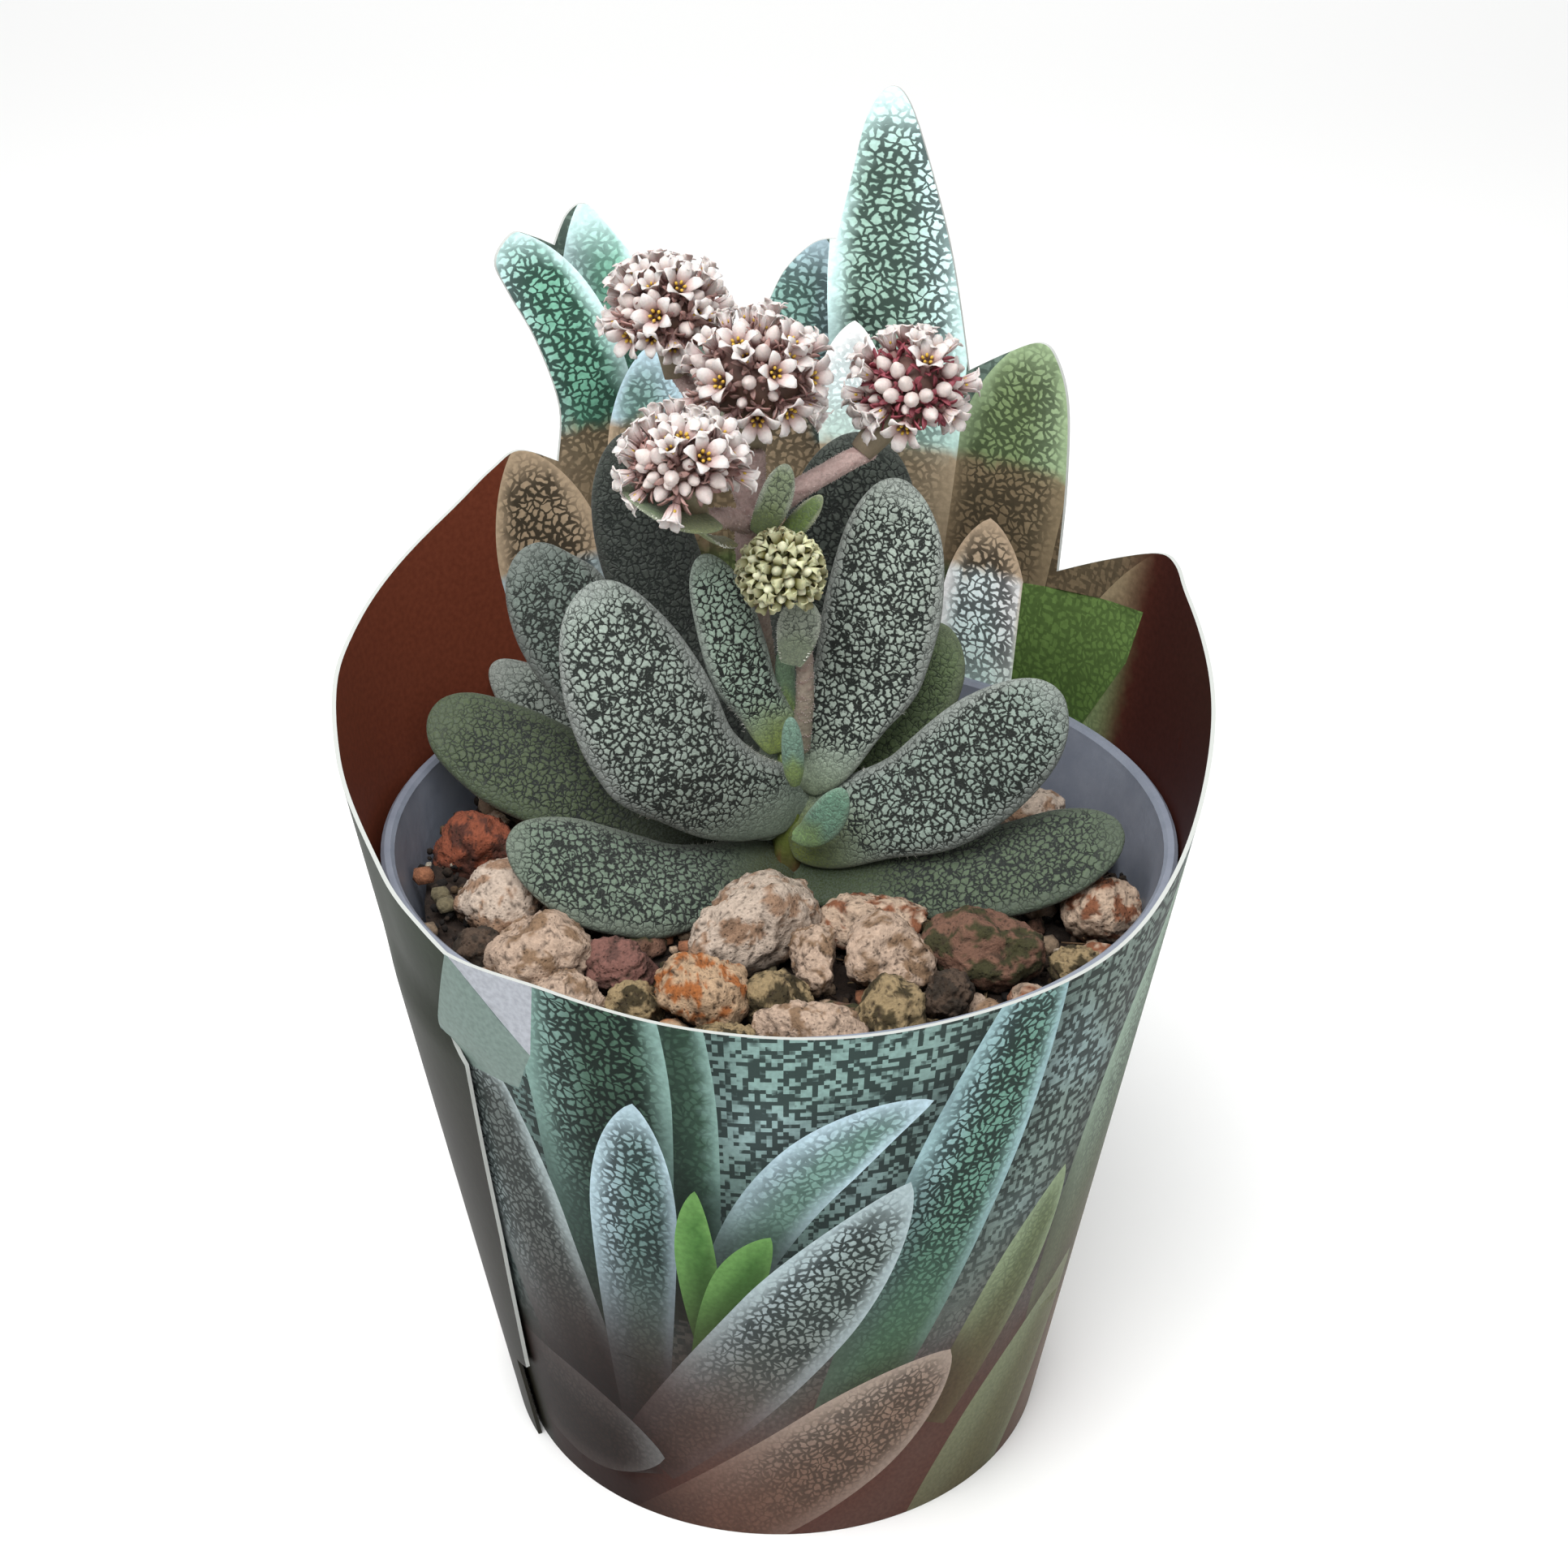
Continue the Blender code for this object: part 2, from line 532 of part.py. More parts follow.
def card_point(angle, level, outward):
    """A point of the card, on its inner face (0) or its outer face (1)."""
    height = level * CARD_UNIT
    radius = sleeve_inner(height) + card_lift(angle, level) + CARD * outward
    turn = math.radians(angle)
    return Vector((radius * math.sin(turn), -radius * math.cos(turn), height))


def make_sleeve():
    """Fill the flat outline with triangles, wrap both its faces to the cone and wall the edge."""
    card = material("printed_card", "8FB0A5", 0.4)
    outline = card_outline()
    spare = []
    column = -65.0 + CARD_STEP
    while column < 318:
        for level in (20, 40, 58, 61, 64, 67, 71, 85, 100, 115, 128):
            if level in (58, 61, 64, 67) and 0 < column < 275:
                continue
            spot = (column, level)
            if inside(spot, outline) and edge_distance(spot, outline) > 1.4:
                spare.append(spot)
        column += CARD_STEP
    ring = [(i, (i + 1) % len(outline)) for i in range(len(outline))]
    points = [Vector(spot) for spot in outline + spare]
    flat, _edges, faces, _v, _e, _f = geometry.delaunay_2d_cdt(points, ring, [], 1, 1e-6)
    bm = bmesh.new()
    inner = [bm.verts.new(card_point(p.x, p.y, 0)) for p in flat]
    outer = [bm.verts.new(card_point(p.x, p.y, 1)) for p in flat]
    sides = {}
    for face in faces:
        bm.faces.new([inner[i] for i in reversed(face)])
        bm.faces.new([outer[i] for i in face])
        for a, b in zip(face, face[1:] + face[:1]):
            sides[(a, b)] = True
    for a, b in sides:
        if (b, a) not in sides:
            bm.faces.new((inner[a], inner[b], outer[b], outer[a]))
    return add_object("card_sleeve", bm, card)


def main():
    clear_scene()
    make_pot()
    make_mix()
    make_stem()
    make_leaves()
    make_stalks()
    make_heads()
    make_stones()
    make_sleeve()


main()
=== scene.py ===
"""Looks for a potted crassula in flower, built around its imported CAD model.

Metres, +Z up. The pot stands on the origin and -Y is the front, where the card's seam is.
"""

import math
import random

import bpy
import numpy as np
from mathutils import Euler, Matrix, Vector, geometry, noise


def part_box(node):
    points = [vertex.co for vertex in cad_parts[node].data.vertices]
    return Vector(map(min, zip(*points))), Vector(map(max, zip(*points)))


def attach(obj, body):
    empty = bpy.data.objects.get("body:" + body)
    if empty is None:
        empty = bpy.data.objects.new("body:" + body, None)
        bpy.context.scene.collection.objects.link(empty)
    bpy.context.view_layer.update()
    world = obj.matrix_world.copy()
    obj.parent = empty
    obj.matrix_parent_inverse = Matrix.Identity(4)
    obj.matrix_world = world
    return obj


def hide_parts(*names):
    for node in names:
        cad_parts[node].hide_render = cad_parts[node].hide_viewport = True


bl_info = {
    "name": "Potted Crassula",
    "version": (1, 0, 0),
    "blender": (4, 5, 0),
    "location": "View3D > Sidebar > Crassula",
    "description": "Leaves, flowers, gravel, pot and printed sleeve around a CAD frame",
    "category": "Object",
}

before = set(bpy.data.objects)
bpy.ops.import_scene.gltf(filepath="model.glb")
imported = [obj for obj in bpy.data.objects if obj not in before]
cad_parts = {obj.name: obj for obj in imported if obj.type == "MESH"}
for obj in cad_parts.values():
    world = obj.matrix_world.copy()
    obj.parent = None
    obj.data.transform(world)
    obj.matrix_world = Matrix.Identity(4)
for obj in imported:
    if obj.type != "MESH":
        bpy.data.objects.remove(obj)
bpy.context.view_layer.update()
MM = 0.001
ALBEDO = 0.70   # how far the inks are turned down, so that soft light shows them as named

# ---------------------------------------------------------------- places taken from the frame

stem_low, stem_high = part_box("stem")
STEM_AXIS = Vector(((stem_low.x + stem_high.x) / 2, (stem_low.y + stem_high.y) / 2, 0))
STEM_TOP = stem_high.z
pot_low, pot_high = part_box("nursery_pot")
POT_HEIGHT = pot_high.z
POT_RIM_RADIUS = (pot_high.x - pot_low.x) / 2
MIX_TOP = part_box("potting_mix")[1].z

# Sizes of the pot that only its section shows
POT_BASE_RADIUS = 29.6 * MM
POT_WALL = 1.2 * MM
POT_FLOOR = 1.6 * MM
RIM_BAND_HEIGHT = 9.0 * MM
RIM_BAND_CLEARANCE = 0.5 * MM
RIM_BAND_STEP = 0.5 * MM
RIM_LIP = 1.46 * MM
DRAIN_HOLES = 6
DRAIN_HOLE_RADIUS = 3.0 * MM
DRAIN_CIRCLE_RADIUS = 18.0 * MM

# How much there is of what is scattered, and how far stones and grit swell past their boxes
HEAD_PLACES = 72
BUD_HEAD_PLACES = 44
GOLDEN_ANGLE = 2.39996
FIBRE_COUNT = 260
SPECK_COUNT = 150
CHIP_TRIES = 4000
STONE_GROWTH = 1.40
CHIP_GROWTH = 1.30

# The camera, in metres, radians and millimetres
CAMERA_PLACE = (0.0005, -0.2363, 0.2039)
CAMERA_TILT = math.radians(90 - 28.13)
CAMERA_LENS = 57.67
CAMERA_SENSOR = 36.0

# The card's cone and its die-cut outline, as (degrees round from the front, millimetres up)
SLEEVE_FOOT_RADIUS = 30.25 * MM
SLEEVE_RIM_RADIUS = 42.85 * MM
CARD = 0.45 * MM
FLAP_LIFT = 0.95 * MM
MM_PER_DEGREE = 0.68
FLAT_SCALE = np.array([MM_PER_DEGREE, 1.0])   # turns (degrees, millimetres) to millimetres
PRINT_PITCH = 1.7   # millimetres between the sleeve's inner points
HIDDEN_END = -66.0
FLAP_END = 298.0
SEAM = ((298.0, 0.0), (298.0, 12.0), (303.1, 13.2), (305.1, 21.9), (307.9, 35.3), (310.1, 50.0),
        (311.8, 60.6), (306.4, 64.9), (312.0, 66.6), (317.0, 67.4), (316.0, 73.2))
UPPER_EDGE = (
    ((316.0, 73.2), (306.0, 75.4), (295.0, 77.0), (283.0, 82.0), (269.0, 88.4), (256.0, 91.2),
     (234.0, 96.6), (224.0, 100.0), (219.0, 101.3), (213.0, 99.0)),
    ((213.0, 99.0), (211.7, 105.1), (213.9, 112.9), (217.0, 118.9), (218.3, 122.6), (215.4, 125.2),
     (212.8, 124.6), (209.8, 123.2)),
    ((209.8, 123.2), (207.6, 126.4), (205.0, 127.2), (202.0, 124.2), (196.0, 117.0), (189.0, 110.5)),
    ((189.0, 110.5), (183.0, 113.0), (179.4, 118.4), (175.6, 121.6), (172.6, 122.2)),
    ((172.6, 122.2), (171.0, 128.8), (169.2, 136.0), (166.6, 139.2), (164.0, 137.4), (160.4, 129.4),
     (157.0, 120.6), (153.4, 108.6)),
    ((153.4, 108.6), (148.0, 111.4), (143.4, 113.2), (140.6, 111.8), (137.8, 107.0), (136.0, 98.0),
     (135.1, 88.3)),
    ((135.1, 88.3), (125.4, 92.2), (116.3, 95.4), (112.0, 95.4), (108.0, 93.4), (100.5, 90.8),
     (88.3, 86.6), (76.0, 81.0), (64.0, 76.9), (50.0, 74.4), (26.0, 74.1), (8.0, 73.9), (-11.0, 74.7),
     (-30.0, 75.8), (-46.0, 75.6)),
)
TAB = ((-46.0, 75.6), (-53.2, 64.2), (-55.6, 60.0), (-61.0, 56.0), (-66.0, 50.0), (-66.0, 0.0))

# ---------------------------------------------------------------- palettes, as sRGB hex codes

# each leaf: smooth margin, scales between the cracks, bare base, share of its length that is bare, cracks. The
# colours of leaf_back, leaf_back_left and leaf_left_lower are turned darker, partly as painted shade for where they
# lie under flowers and other leaves
LEAF_LOOKS = {
    "leaf_front_left": ("A3A9A4", "A9B8AC", "84957F", 0.05, 1.00),
    "leaf_right_centre": ("B1B8B1", "B7C6B9", "99AA8A", 0.06, 1.00),
    "leaf_right": ("9DA49E", "A0B2A6", "6E7A34", 0.09, 1.00),
    "leaf_left_upper": ("757B76", "76847B", "66745F", 0.05, 0.95),
    # partly painted shade: darker colours for a leaf in the shade of the flower heads
    "leaf_back_left": ("393C37", "3F453F", "303829", 0.05, 0.80),
    "leaf_centre_left": ("ABB7AC", "B7D0BC", "A1B660", 0.10, 0.80),
    # partly painted shade: darker colours for a leaf that lies under the others
    "leaf_left_lower": ("4C593C", "4E5C3C", "252D10", 0.24, 0.60),
    "leaf_front_lower": ("788374", "798C79", "39401C", 0.12, 0.95),
    "leaf_right_lower": ("515D4A", "5A6B51", "34421E", 0.16, 0.80),
    # partly painted shade: darker colours for a leaf in the shade of the flower heads
    "leaf_back": ("494E48", "555D55", "394334", 0.05, 1.00),
    "leaf_right_back": ("83916E", "7B9062", "738845", 0.10, 0.35),
    "leaf_left_back": ("8D918B", "8C958C", "6F7A5E", 0.10, 0.60),
    "leaf_rear_lower": ("8A928B", "8B9A8D", "5F6E3E", 0.20, 0.80),
    "young_leaf_front": ("8FB59C", "7FAE94", "86A66A", 0.25, 0.15),
    "young_leaf_centre": ("8CA68A", "86A683", "8FA85C", 0.30, 0.10),
    "young_leaf_inner": ("8FB3A0", "86AC98", "92AC66", 0.25, 0.15),
    "bract_fork_upright": ("A9B19D", "8D9B77", "7F8E5C", 0.25, 0.35),
    "bract_fork_right": ("9DA485", "6A8044", "677D3B", 0.40, 0.05),
    "bract_left_head": ("A3AD92", "7D9268", "8C9466", 0.30, 0.10),
    "bract_fork_left": ("AEB892", "9AA66A", "A3A06E", 0.35, 0.05),
    "bract_bud_stalk": ("B0B7A7", "9DA694", "94A186", 0.30, 0.35),
}

# each stone: main colour, stain, and how much of it is stained
STONE_LOOKS = {
    "beige": ("CFB49E", "94765A", 0.34), "pale": ("D8C4B2", "A8856A", 0.30), "rust": ("985238", "5A3226", 0.45),
    "rose": ("8C6157", "6B4A42", 0.50), "amber": ("CFAE8C", "B5692E", 0.40), "mossy": ("A8926C", "3C3218", 0.50),
    "brown": ("84604E", "3E3F20", 0.52), "dark": ("5C4A3C", "3A3026", 0.50), "stained": ("D2B79F", "8C5232", 0.42),
}
STONE_KINDS = {
    1: "rust", 2: "pale", 3: "dark", 4: "beige", 5: "rose", 6: "beige", 7: "mossy", 8: "amber", 9: "pale",
    10: "beige", 11: "stained", 12: "beige", 13: "dark", 14: "brown", 15: "mossy", 16: "beige", 17: "mossy",
    18: "mossy", 19: "stained", 20: "beige", 21: "mossy", 22: "pale", 23: "beige", 24: "mossy", 25: "dark",
    26: "beige",
}

# Where the open flowers and the large buds of each head look, out from its middle
OPEN_FLOWERS = {
    "flower_head_centre": ((-0.25, -0.55, 0.80), (0.54, -0.37, 0.76), (-0.48, -0.84, 0.24), (0.30, -0.85, 0.43),
                           (0.50, -0.83, -0.24), (0.83, -0.52, 0.22), (0.05, -0.94, -0.35)),
    "flower_head_right": ((0.22, -0.57, 0.79), (-0.18, -0.90, -0.39), (-0.77, -0.48, -0.42), (-0.14, 0.31, 0.94)),
    "flower_head_back_left": ((0.24, -0.57, 0.79), (-0.14, -0.94, 0.30), (-0.62, -0.76, -0.20),
                              (-0.22, 0.26, 0.94)),
    "flower_head_front_left": ((0.06, -0.52, 0.85), (0.45, -0.72, 0.53), (0.91, 0.16, 0.39)),
}
LARGE_BUDS = {
    "flower_head_centre": ((0.14, -0.64, 0.76), (-0.08, -0.95, 0.31), (0.30, -0.25, 0.92), (-0.85, -0.29, 0.44),
                           (-0.65, -0.59, 0.48)),
    "flower_head_right": ((-0.36, -0.63, 0.69), (-0.20, -0.86, 0.48), (-0.49, -0.84, 0.21), (0.22, -0.94, 0.25),
                          (0.59, -0.74, 0.31), (-0.65, -0.67, 0.36), (0.32, -0.93, -0.16), (-0.08, -0.98, 0.17),
                          (-0.63, -0.33, 0.71), (0.72, -0.37, 0.59)),
    "flower_head_back_left": ((-0.22, -0.70, 0.68), (0.41, -0.91, -0.04), (0.60, -0.53, 0.60),
                              (-0.72, -0.47, 0.51), (0.80, 0.07, 0.60)),
    "flower_head_front_left": ((-0.66, -0.56, 0.50), (-0.39, -0.69, 0.61), (-0.13, -0.98, 0.15),
                               (0.74, -0.67, -0.09), (0.49, -0.77, -0.41)),
}

# The picture printed on the card: leaves from back to front. Each has its base, middle and tip as
# (degrees, millimetres up), its half width in millimetres, its palette and its cracks.
PRINT_PALETTES = {   # lit margin, middle, base
    "mint": ("AFD2D8", "7AA998", "3F6B4A"),
    "ice": ("CDE8F5", "8BB2A8", "4A6050"),
    "deep": ("90B2AA", "4D6B5A", "294436"),
    "grey": ("BED1D5", "97A8A4", "4D352D"),
    "olive": ("9DB38D", "75885F", "5E5A3E"),
    "brown": ("CCBDAE", "AD9784", "6A4D43"),
    "bright": ("709F59", "4D7A3D", "3B5C31"),
    "sage": ("A9C2AE", "6E8A70", "5C6A4C"),
    "jade": ("DEFFFF", "83BFA6", "2D6747"),
    "frost": ("C3DDE8", "789894", "352A21"),
    "dusk": ("B0BFC0", "68706D", "3C2E2C"),
    "peak": ("DFFFFF", "9ABBAC", "78947C"),
    "pale": ("FFFFFF", "ECFFFF", "AFCDBC"),
}
OUTER_LEAVES = (
    ((46.0, -14.0), (70.0, 20.0), (88.0, 46.0), 11.0, "brown", 0.3),
    ((60.0, 22.0), (70.0, 52.0), (84.0, 84.0), 10.0, "sage", 0.6),
    ((96.0, 5.0), (104.0, 45.0), (112.0, 96.0), 12.0, "olive", 0.6),
    ((124.0, 30.0), (134.0, 70.0), (142.0, 114.0), 10.5, "sage", 0.8),
    ((160.0, 40.0), (162.0, 92.0), (166.5, 140.0), 10.0, "peak", 1.0),
    ((186.0, 40.0), (180.0, 84.0), (174.0, 122.0), 8.0, "ice", 0.9),
    ((196.0, 50.0), (202.0, 92.0), (206.0, 127.5), 8.0, "mint", 0.7),
    ((212.0, 40.0), (208.0, 90.0), (217.0, 126.0), 8.5, "mint", 1.0),
    ((230.0, 5.0), (228.0, 55.0), (222.0, 101.0), 12.0, "sage", 0.6),
    ((150.0, -10.0), (146.0, 30.0), (138.0, 66.0), 13.0, "grey", 0.9),
    ((196.0, -14.0), (190.0, 26.0), (180.0, 62.0), 13.0, "mint", 1.0),
    ((112.0, -12.0), (116.0, 22.0), (122.0, 50.0), 11.0, "sage", 0.8),
    ((-14.0, 34.0), (-13.6, 60.0), (-14.2, 92.0), 3.8, "deep", 0.5),
    ((-27.0, 26.0), (-25.2, 60.0), (-23.0, 96.0), 7.4, "deep", 1.0),
    ((29.1, 14.8), (41.5, 31.4), (50.4, 46.0), 4.4, "olive", 0.35),
    ((-30.0, 6.0), (-44.7, 40.8), (-46.8, 67.5), 7.4, "dusk", 0.9),
    ((11.0, 18.0), (25.6, 48.7), (38.0, 86.0), 6.2, "mint", 1.0),
    ((-9.5, 36.0), (3.4, 55.6), (20.8, 64.2), 4.0, "ice", 0.6),
    ((-25.9, 14.2), (-22.5, 44.3), (-19.6, 64.0), 4.8, "frost", 0.95),
    ((-9.6, 24.0), (-12.5, 41.0), (-11.9, 53.4), 2.2, "bright", 0.0),
    ((-13.0, 24.0), (-7.4, 38.5), (-1.2, 47.6), 2.8, "bright", 0.0),
    ((22.0, -26.0), (44.4, 5.5), (66.0, 27.0), 8.0, "olive", 0.15),
    ((-26.1, 10.0), (0.6, 33.0), (18.9, 53.6), 6.6, "grey", 1.0),
    ((-78.0, 15.0), (-48.0, 12.0), (-22.5, 10.5), 8.0, "dusk", 0.5),
    ((-30.0, -6.0), (9.4, 13.0), (31.0, 25.9), 7.8, "brown", 0.9),
)
INNER_LEAVES = (
    ((124.0, 52.0), (120.0, 74.0), (113.0, 97.0), 8.5, "olive", 0.3),
    ((198.0, 86.0), (202.0, 108.0), (205.6, 127.8), 5.0, "jade", 0.6),
    ((202.0, 76.0), (209.5, 108.0), (217.2, 125.8), 5.6, "jade", 1.0),
    ((200.0, 76.0), (199.1, 96.0), (198.1, 110.6), 4.4, "ice", 0.7),
    ((174.0, 72.0), (177.0, 104.0), (174.8, 122.8), 5.6, "ice", 0.9),
    ((146.0, 60.0), (145.6, 94.0), (142.0, 114.4), 6.6, "olive", 0.8),
    ((163.0, 66.0), (163.6, 112.0), (166.5, 140.5), 6.7, "peak", 1.0),
    ((170.0, 92.0), (170.0, 104.0), (169.8, 113.0), 3.2, "pale", 0.4),
    ((214.2, 66.0), (216.0, 86.0), (219.6, 101.8), 6.2, "grey", 1.0),
    ((144.6, 56.0), (146.4, 78.0), (147.5, 92.2), 5.2, "pale", 1.0),
)
TAB_WHITE = ((-46.5, 76.5), (-31.8, 76.5), (-34.5, 66.5))
TAB_GREY = ((-46.5, 76.5), (-34.5, 66.5), (-38.3, 61.0), (-48.6, 60.0), (-54.0, 64.0), (-70.0, 64.0),
            (-70.0, 77.0))
GREEN_PATCH = ((140.7, 85.7), (116.7, 88.4), (118.0, 82.0), (126.5, 70.0), (140.0, 70.0))


# ---------------------------------------------------------------- small tools

def hex_colour(code):
    """The linear red, green, blue and alpha of an sRGB hex code."""
    channels = [int(code[i:i + 2], 16) / 255 for i in (0, 2, 4)]
    linear = [c / 12.92 if c <= 0.04045 else ((c + 0.055) / 1.055) ** 2.4 for c in channels]
    return (*linear, 1.0)


def ink(code):
    """The linear albedo, as numpy, of a hex code that gives a colour as it looks in soft light."""
    return np.array(hex_colour(code)[:3]) * ALBEDO


def mixed(first, second, share):
    """Rows of colour between two colours, by a row of shares."""
    share = np.clip(np.asarray(share, float), 0, 1)[..., None]
    return first * (1 - share) + second * share


def step_up(values, low, high):
    """0 below low, 1 above high and smooth between, for numbers or arrays."""
    share = np.clip((np.asarray(values, float) - low) / (high - low), 0, 1)
    return share * share * (3 - 2 * share)


class Net:
    """A tree of shader nodes. Most calls add one node and return the output that the looks use."""

    def __init__(self, tree):
        self.tree = tree

    def node(self, kind, links=None, **settings):
        """Add a node, set its options, and set or link its inputs."""
        made = self.tree.nodes.new("ShaderNode" + kind)
        for key, value in settings.items():
            setattr(made, key, value)
        for key, value in (links or {}).items():
            if isinstance(value, bpy.types.NodeSocket):
                self.tree.links.new(value, made.inputs[key])
            else:
                made.inputs[key].default_value = value
        return made

    def layer(self, name, output="Color"):
        return self.node("Attribute", attribute_name=name).outputs[output]

    def scaled(self, vector, factor):
        return self.node("VectorMath", {0: vector, "Scale": factor}, operation="SCALE").outputs["Vector"]

    def places(self):
        """Object coordinates in millimetres."""
        return self.scaled(self.node("TexCoord").outputs["Object"], 1 / MM)

    def product(self, first, second, plus=None, clamp=False):
        """first x second, plus a third value where one is given."""
        links = {0: first, 1: second} if plus is None else {0: first, 1: second, 2: plus}
        how = "MULTIPLY" if plus is None else "MULTIPLY_ADD"
        return self.node("Math", links, operation=how, use_clamp=clamp).outputs[0]

    def span(self, value, low, high, to_low, to_high, kind="LINEAR"):
        """The value, carried from one range to another."""
        links = {"Value": value, "From Min": low, "From Max": high, "To Min": to_low, "To Max": to_high}
        return self.node("MapRange", links, interpolation_type=kind).outputs[0]

    def noise(self, place, scale, detail, roughness=0.5, space="3D", output="Fac"):
        links = {"Vector": place, "Scale": scale, "Detail": detail, "Roughness": roughness}
        return self.node("TexNoise", links, noise_dimensions=space).outputs[output]

    def cells(self, place, scale, feature="DISTANCE_TO_EDGE", space="3D", output="Distance"):
        links = {"Vector": place, "Scale": scale}
        return self.node("TexVoronoi", links, feature=feature, voronoi_dimensions=space).outputs[output]

    def warped(self, place, scale, detail, reach, space="3D"):
        """Places pushed about by noise."""
        push = self.noise(place, scale, detail, space=space, output="Color")
        push = self.node("VectorMath", {0: push, 1: (0.5, 0.5, 0.5)}, operation="SUBTRACT").outputs[0]
        return self.node("VectorMath", {0: push, 1: (reach,) * 3, 2: place}, operation="MULTIPLY_ADD").outputs[0]

    def mix(self, share, first, second, kind="RGBA"):
        return self.node("Mix", {"Factor": share, "A": first, "B": second}, data_type=kind).outputs["Result"]

    def surface(self, shader, colour, height, height_mm, strength=1.0):
        """Give the shader its colour and a bump of a height in millimetres."""
        bump = self.node("Bump", {"Height": height, "Distance": height_mm * MM, "Strength": strength})
        self.tree.links.new(colour, shader.inputs["Base Color"])
        self.tree.links.new(bump.outputs[0], shader.inputs["Normal"])


def new_material(name, roughness, ior=1.45, code="808080", **sockets):
    """A Principled material, its shader and its net of nodes."""
    look = bpy.data.materials.new(name)
    look.use_nodes = True
    shader = look.node_tree.nodes["Principled BSDF"]
    values = {"Base_Color": hex_colour(code), "Roughness": roughness, "IOR": ior, **sockets}
    for key, value in values.items():
        shader.inputs[key.replace("_", " ")].default_value = value
    return look, shader, Net(look.node_tree)


def only_select(thing):
    bpy.ops.object.select_all(action="DESELECT")
    thing.select_set(True)
    bpy.context.view_layer.objects.active = thing


def primitive(kind, name, **settings):
    """A new mesh primitive about the origin, selected alone."""
    bpy.ops.object.select_all(action="DESELECT")
    getattr(bpy.ops.mesh, f"primitive_{kind}_add")(**{"location": (0, 0, 0), **settings})
    made = bpy.context.object
    made.name = name
    return made


def apply_modifier(thing, kind, **settings):
    only_select(thing)
    step = thing.modifiers.new(kind.title(), kind)
    for key, value in settings.items():
        setattr(step, key, value)
    bpy.ops.object.modifier_apply(modifier=step.name)


def place_of(thing):
    """The piece's points as a numpy array."""
    flat = np.empty(len(thing.data.vertices) * 3, np.float32)
    thing.data.vertices.foreach_get("co", flat)
    return flat.reshape(-1, 3).astype(float)


def move_points(thing, points):
    thing.data.vertices.foreach_set("co", np.asarray(points, np.float32).ravel())
    thing.data.update()


def normals_of(thing):
    flat = np.empty(len(thing.data.vertices) * 3, np.float32)
    thing.data.vertex_normals.foreach_get("vector", flat)
    return flat.reshape(-1, 3).astype(float)


def rough_values(points, scale, fade=1.0, octaves=3, shift=(0, 0, 0)):
    """Fractal noise at each point."""
    return np.array([noise.fractal(Vector(p) * scale + Vector(shift), fade, 2.0, octaves) for p in points])


def middle_and_half(low, high):
    """The middle of a box, from its two corners, and half its size."""
    return (low + high) / 2, (high - low) / 2


def shifted(*place):
    return Matrix.Translation(place)


def stretched(*sizes):
    return Matrix.Diagonal((*sizes, 1))


def paint(thing, name, colours, strength=1.0, domain="POINT"):
    """Store a colour and a strength for each point or corner, for the material to read."""
    rows = np.ones((len(colours), 4), np.float32)
    rows[:, :3] = colours
    rows[:, 3] = strength
    layer = thing.data.color_attributes.new(name, "FLOAT_COLOR", domain)
    layer.data.foreach_set("color", rows.ravel())


def fine_copy(node, name, levels):
    """A copy of a CAD node with its doubles merged, its triangles paired and its surface smoothed."""
    piece = bpy.data.objects.new(name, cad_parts[node].data.copy())
    piece.data.name = name
    piece.data.materials.clear()
    bpy.context.collection.objects.link(piece)
    only_select(piece)
    bpy.ops.object.mode_set(mode="EDIT")
    bpy.ops.mesh.select_all(action="SELECT")
    bpy.ops.mesh.remove_doubles(threshold=1e-6)
    bpy.ops.mesh.tris_convert_to_quads(face_threshold=math.radians(50), shape_threshold=math.radians(60))
    bpy.ops.object.mode_set(mode="OBJECT")
    if levels:
        apply_modifier(piece, "SUBSURF", levels=levels, render_levels=levels)
    bpy.ops.object.shade_smooth()
    return piece


def sheet_piece(name, points, faces, look):
    """A new piece from rows of points and faces."""
    mesh = bpy.data.meshes.new(name)
    mesh.from_pydata([tuple(p) for p in points], [], [tuple(f) for f in faces])
    mesh.materials.append(look)
    piece = bpy.data.objects.new(name, mesh)
    bpy.context.collection.objects.link(piece)
    mesh.shade_smooth()
    return piece


def hand_over(piece, slot, *nodes):
    """Fix a finished piece to the frame and let it stand for its CAD nodes."""
    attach(piece, "root")
    if nodes:
        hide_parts(*nodes)


class Pattern:
    """A small shape, modelled once, as rows of points, faces and point colours."""

    def __init__(self, thing, colours):
        self.points = place_of(thing)
        self.faces = [tuple(p.vertices) for p in thing.data.polygons]
        self.colours = np.asarray(colours(self.points), float)
        bpy.data.objects.remove(thing, do_unlink=True)


class Cluster:
    """Many placed copies of small shapes, joined to one mesh."""

    def __init__(self):
        self.points = []
        self.faces = []
        self.colours = []
        self.count = 0

    def place(self, pattern, matrix, tint=1.0):
        turn = np.array(matrix.to_3x3())
        shift = np.array(matrix.translation)
        self.points.append(pattern.points @ turn.T + shift)
        self.faces += [tuple(i + self.count for i in face) for face in pattern.faces]
        self.colours.append(pattern.colours * tint)
        self.count += len(pattern.points)

    def finish(self, name, look):
        piece = sheet_piece(name, np.vstack(self.points), self.faces, look)
        paint(piece, "tint", np.clip(np.vstack(self.colours), 0, 1))
        return piece


def aim(normal, spin=0.0):
    """A turn that carries +Z to the normal, after a spin about it."""
    return Vector(normal).to_track_quat("Z", "Y").to_matrix().to_4x4() @ Matrix.Rotation(spin, 4, "Z")


# ---------------------------------------------------------------- materials

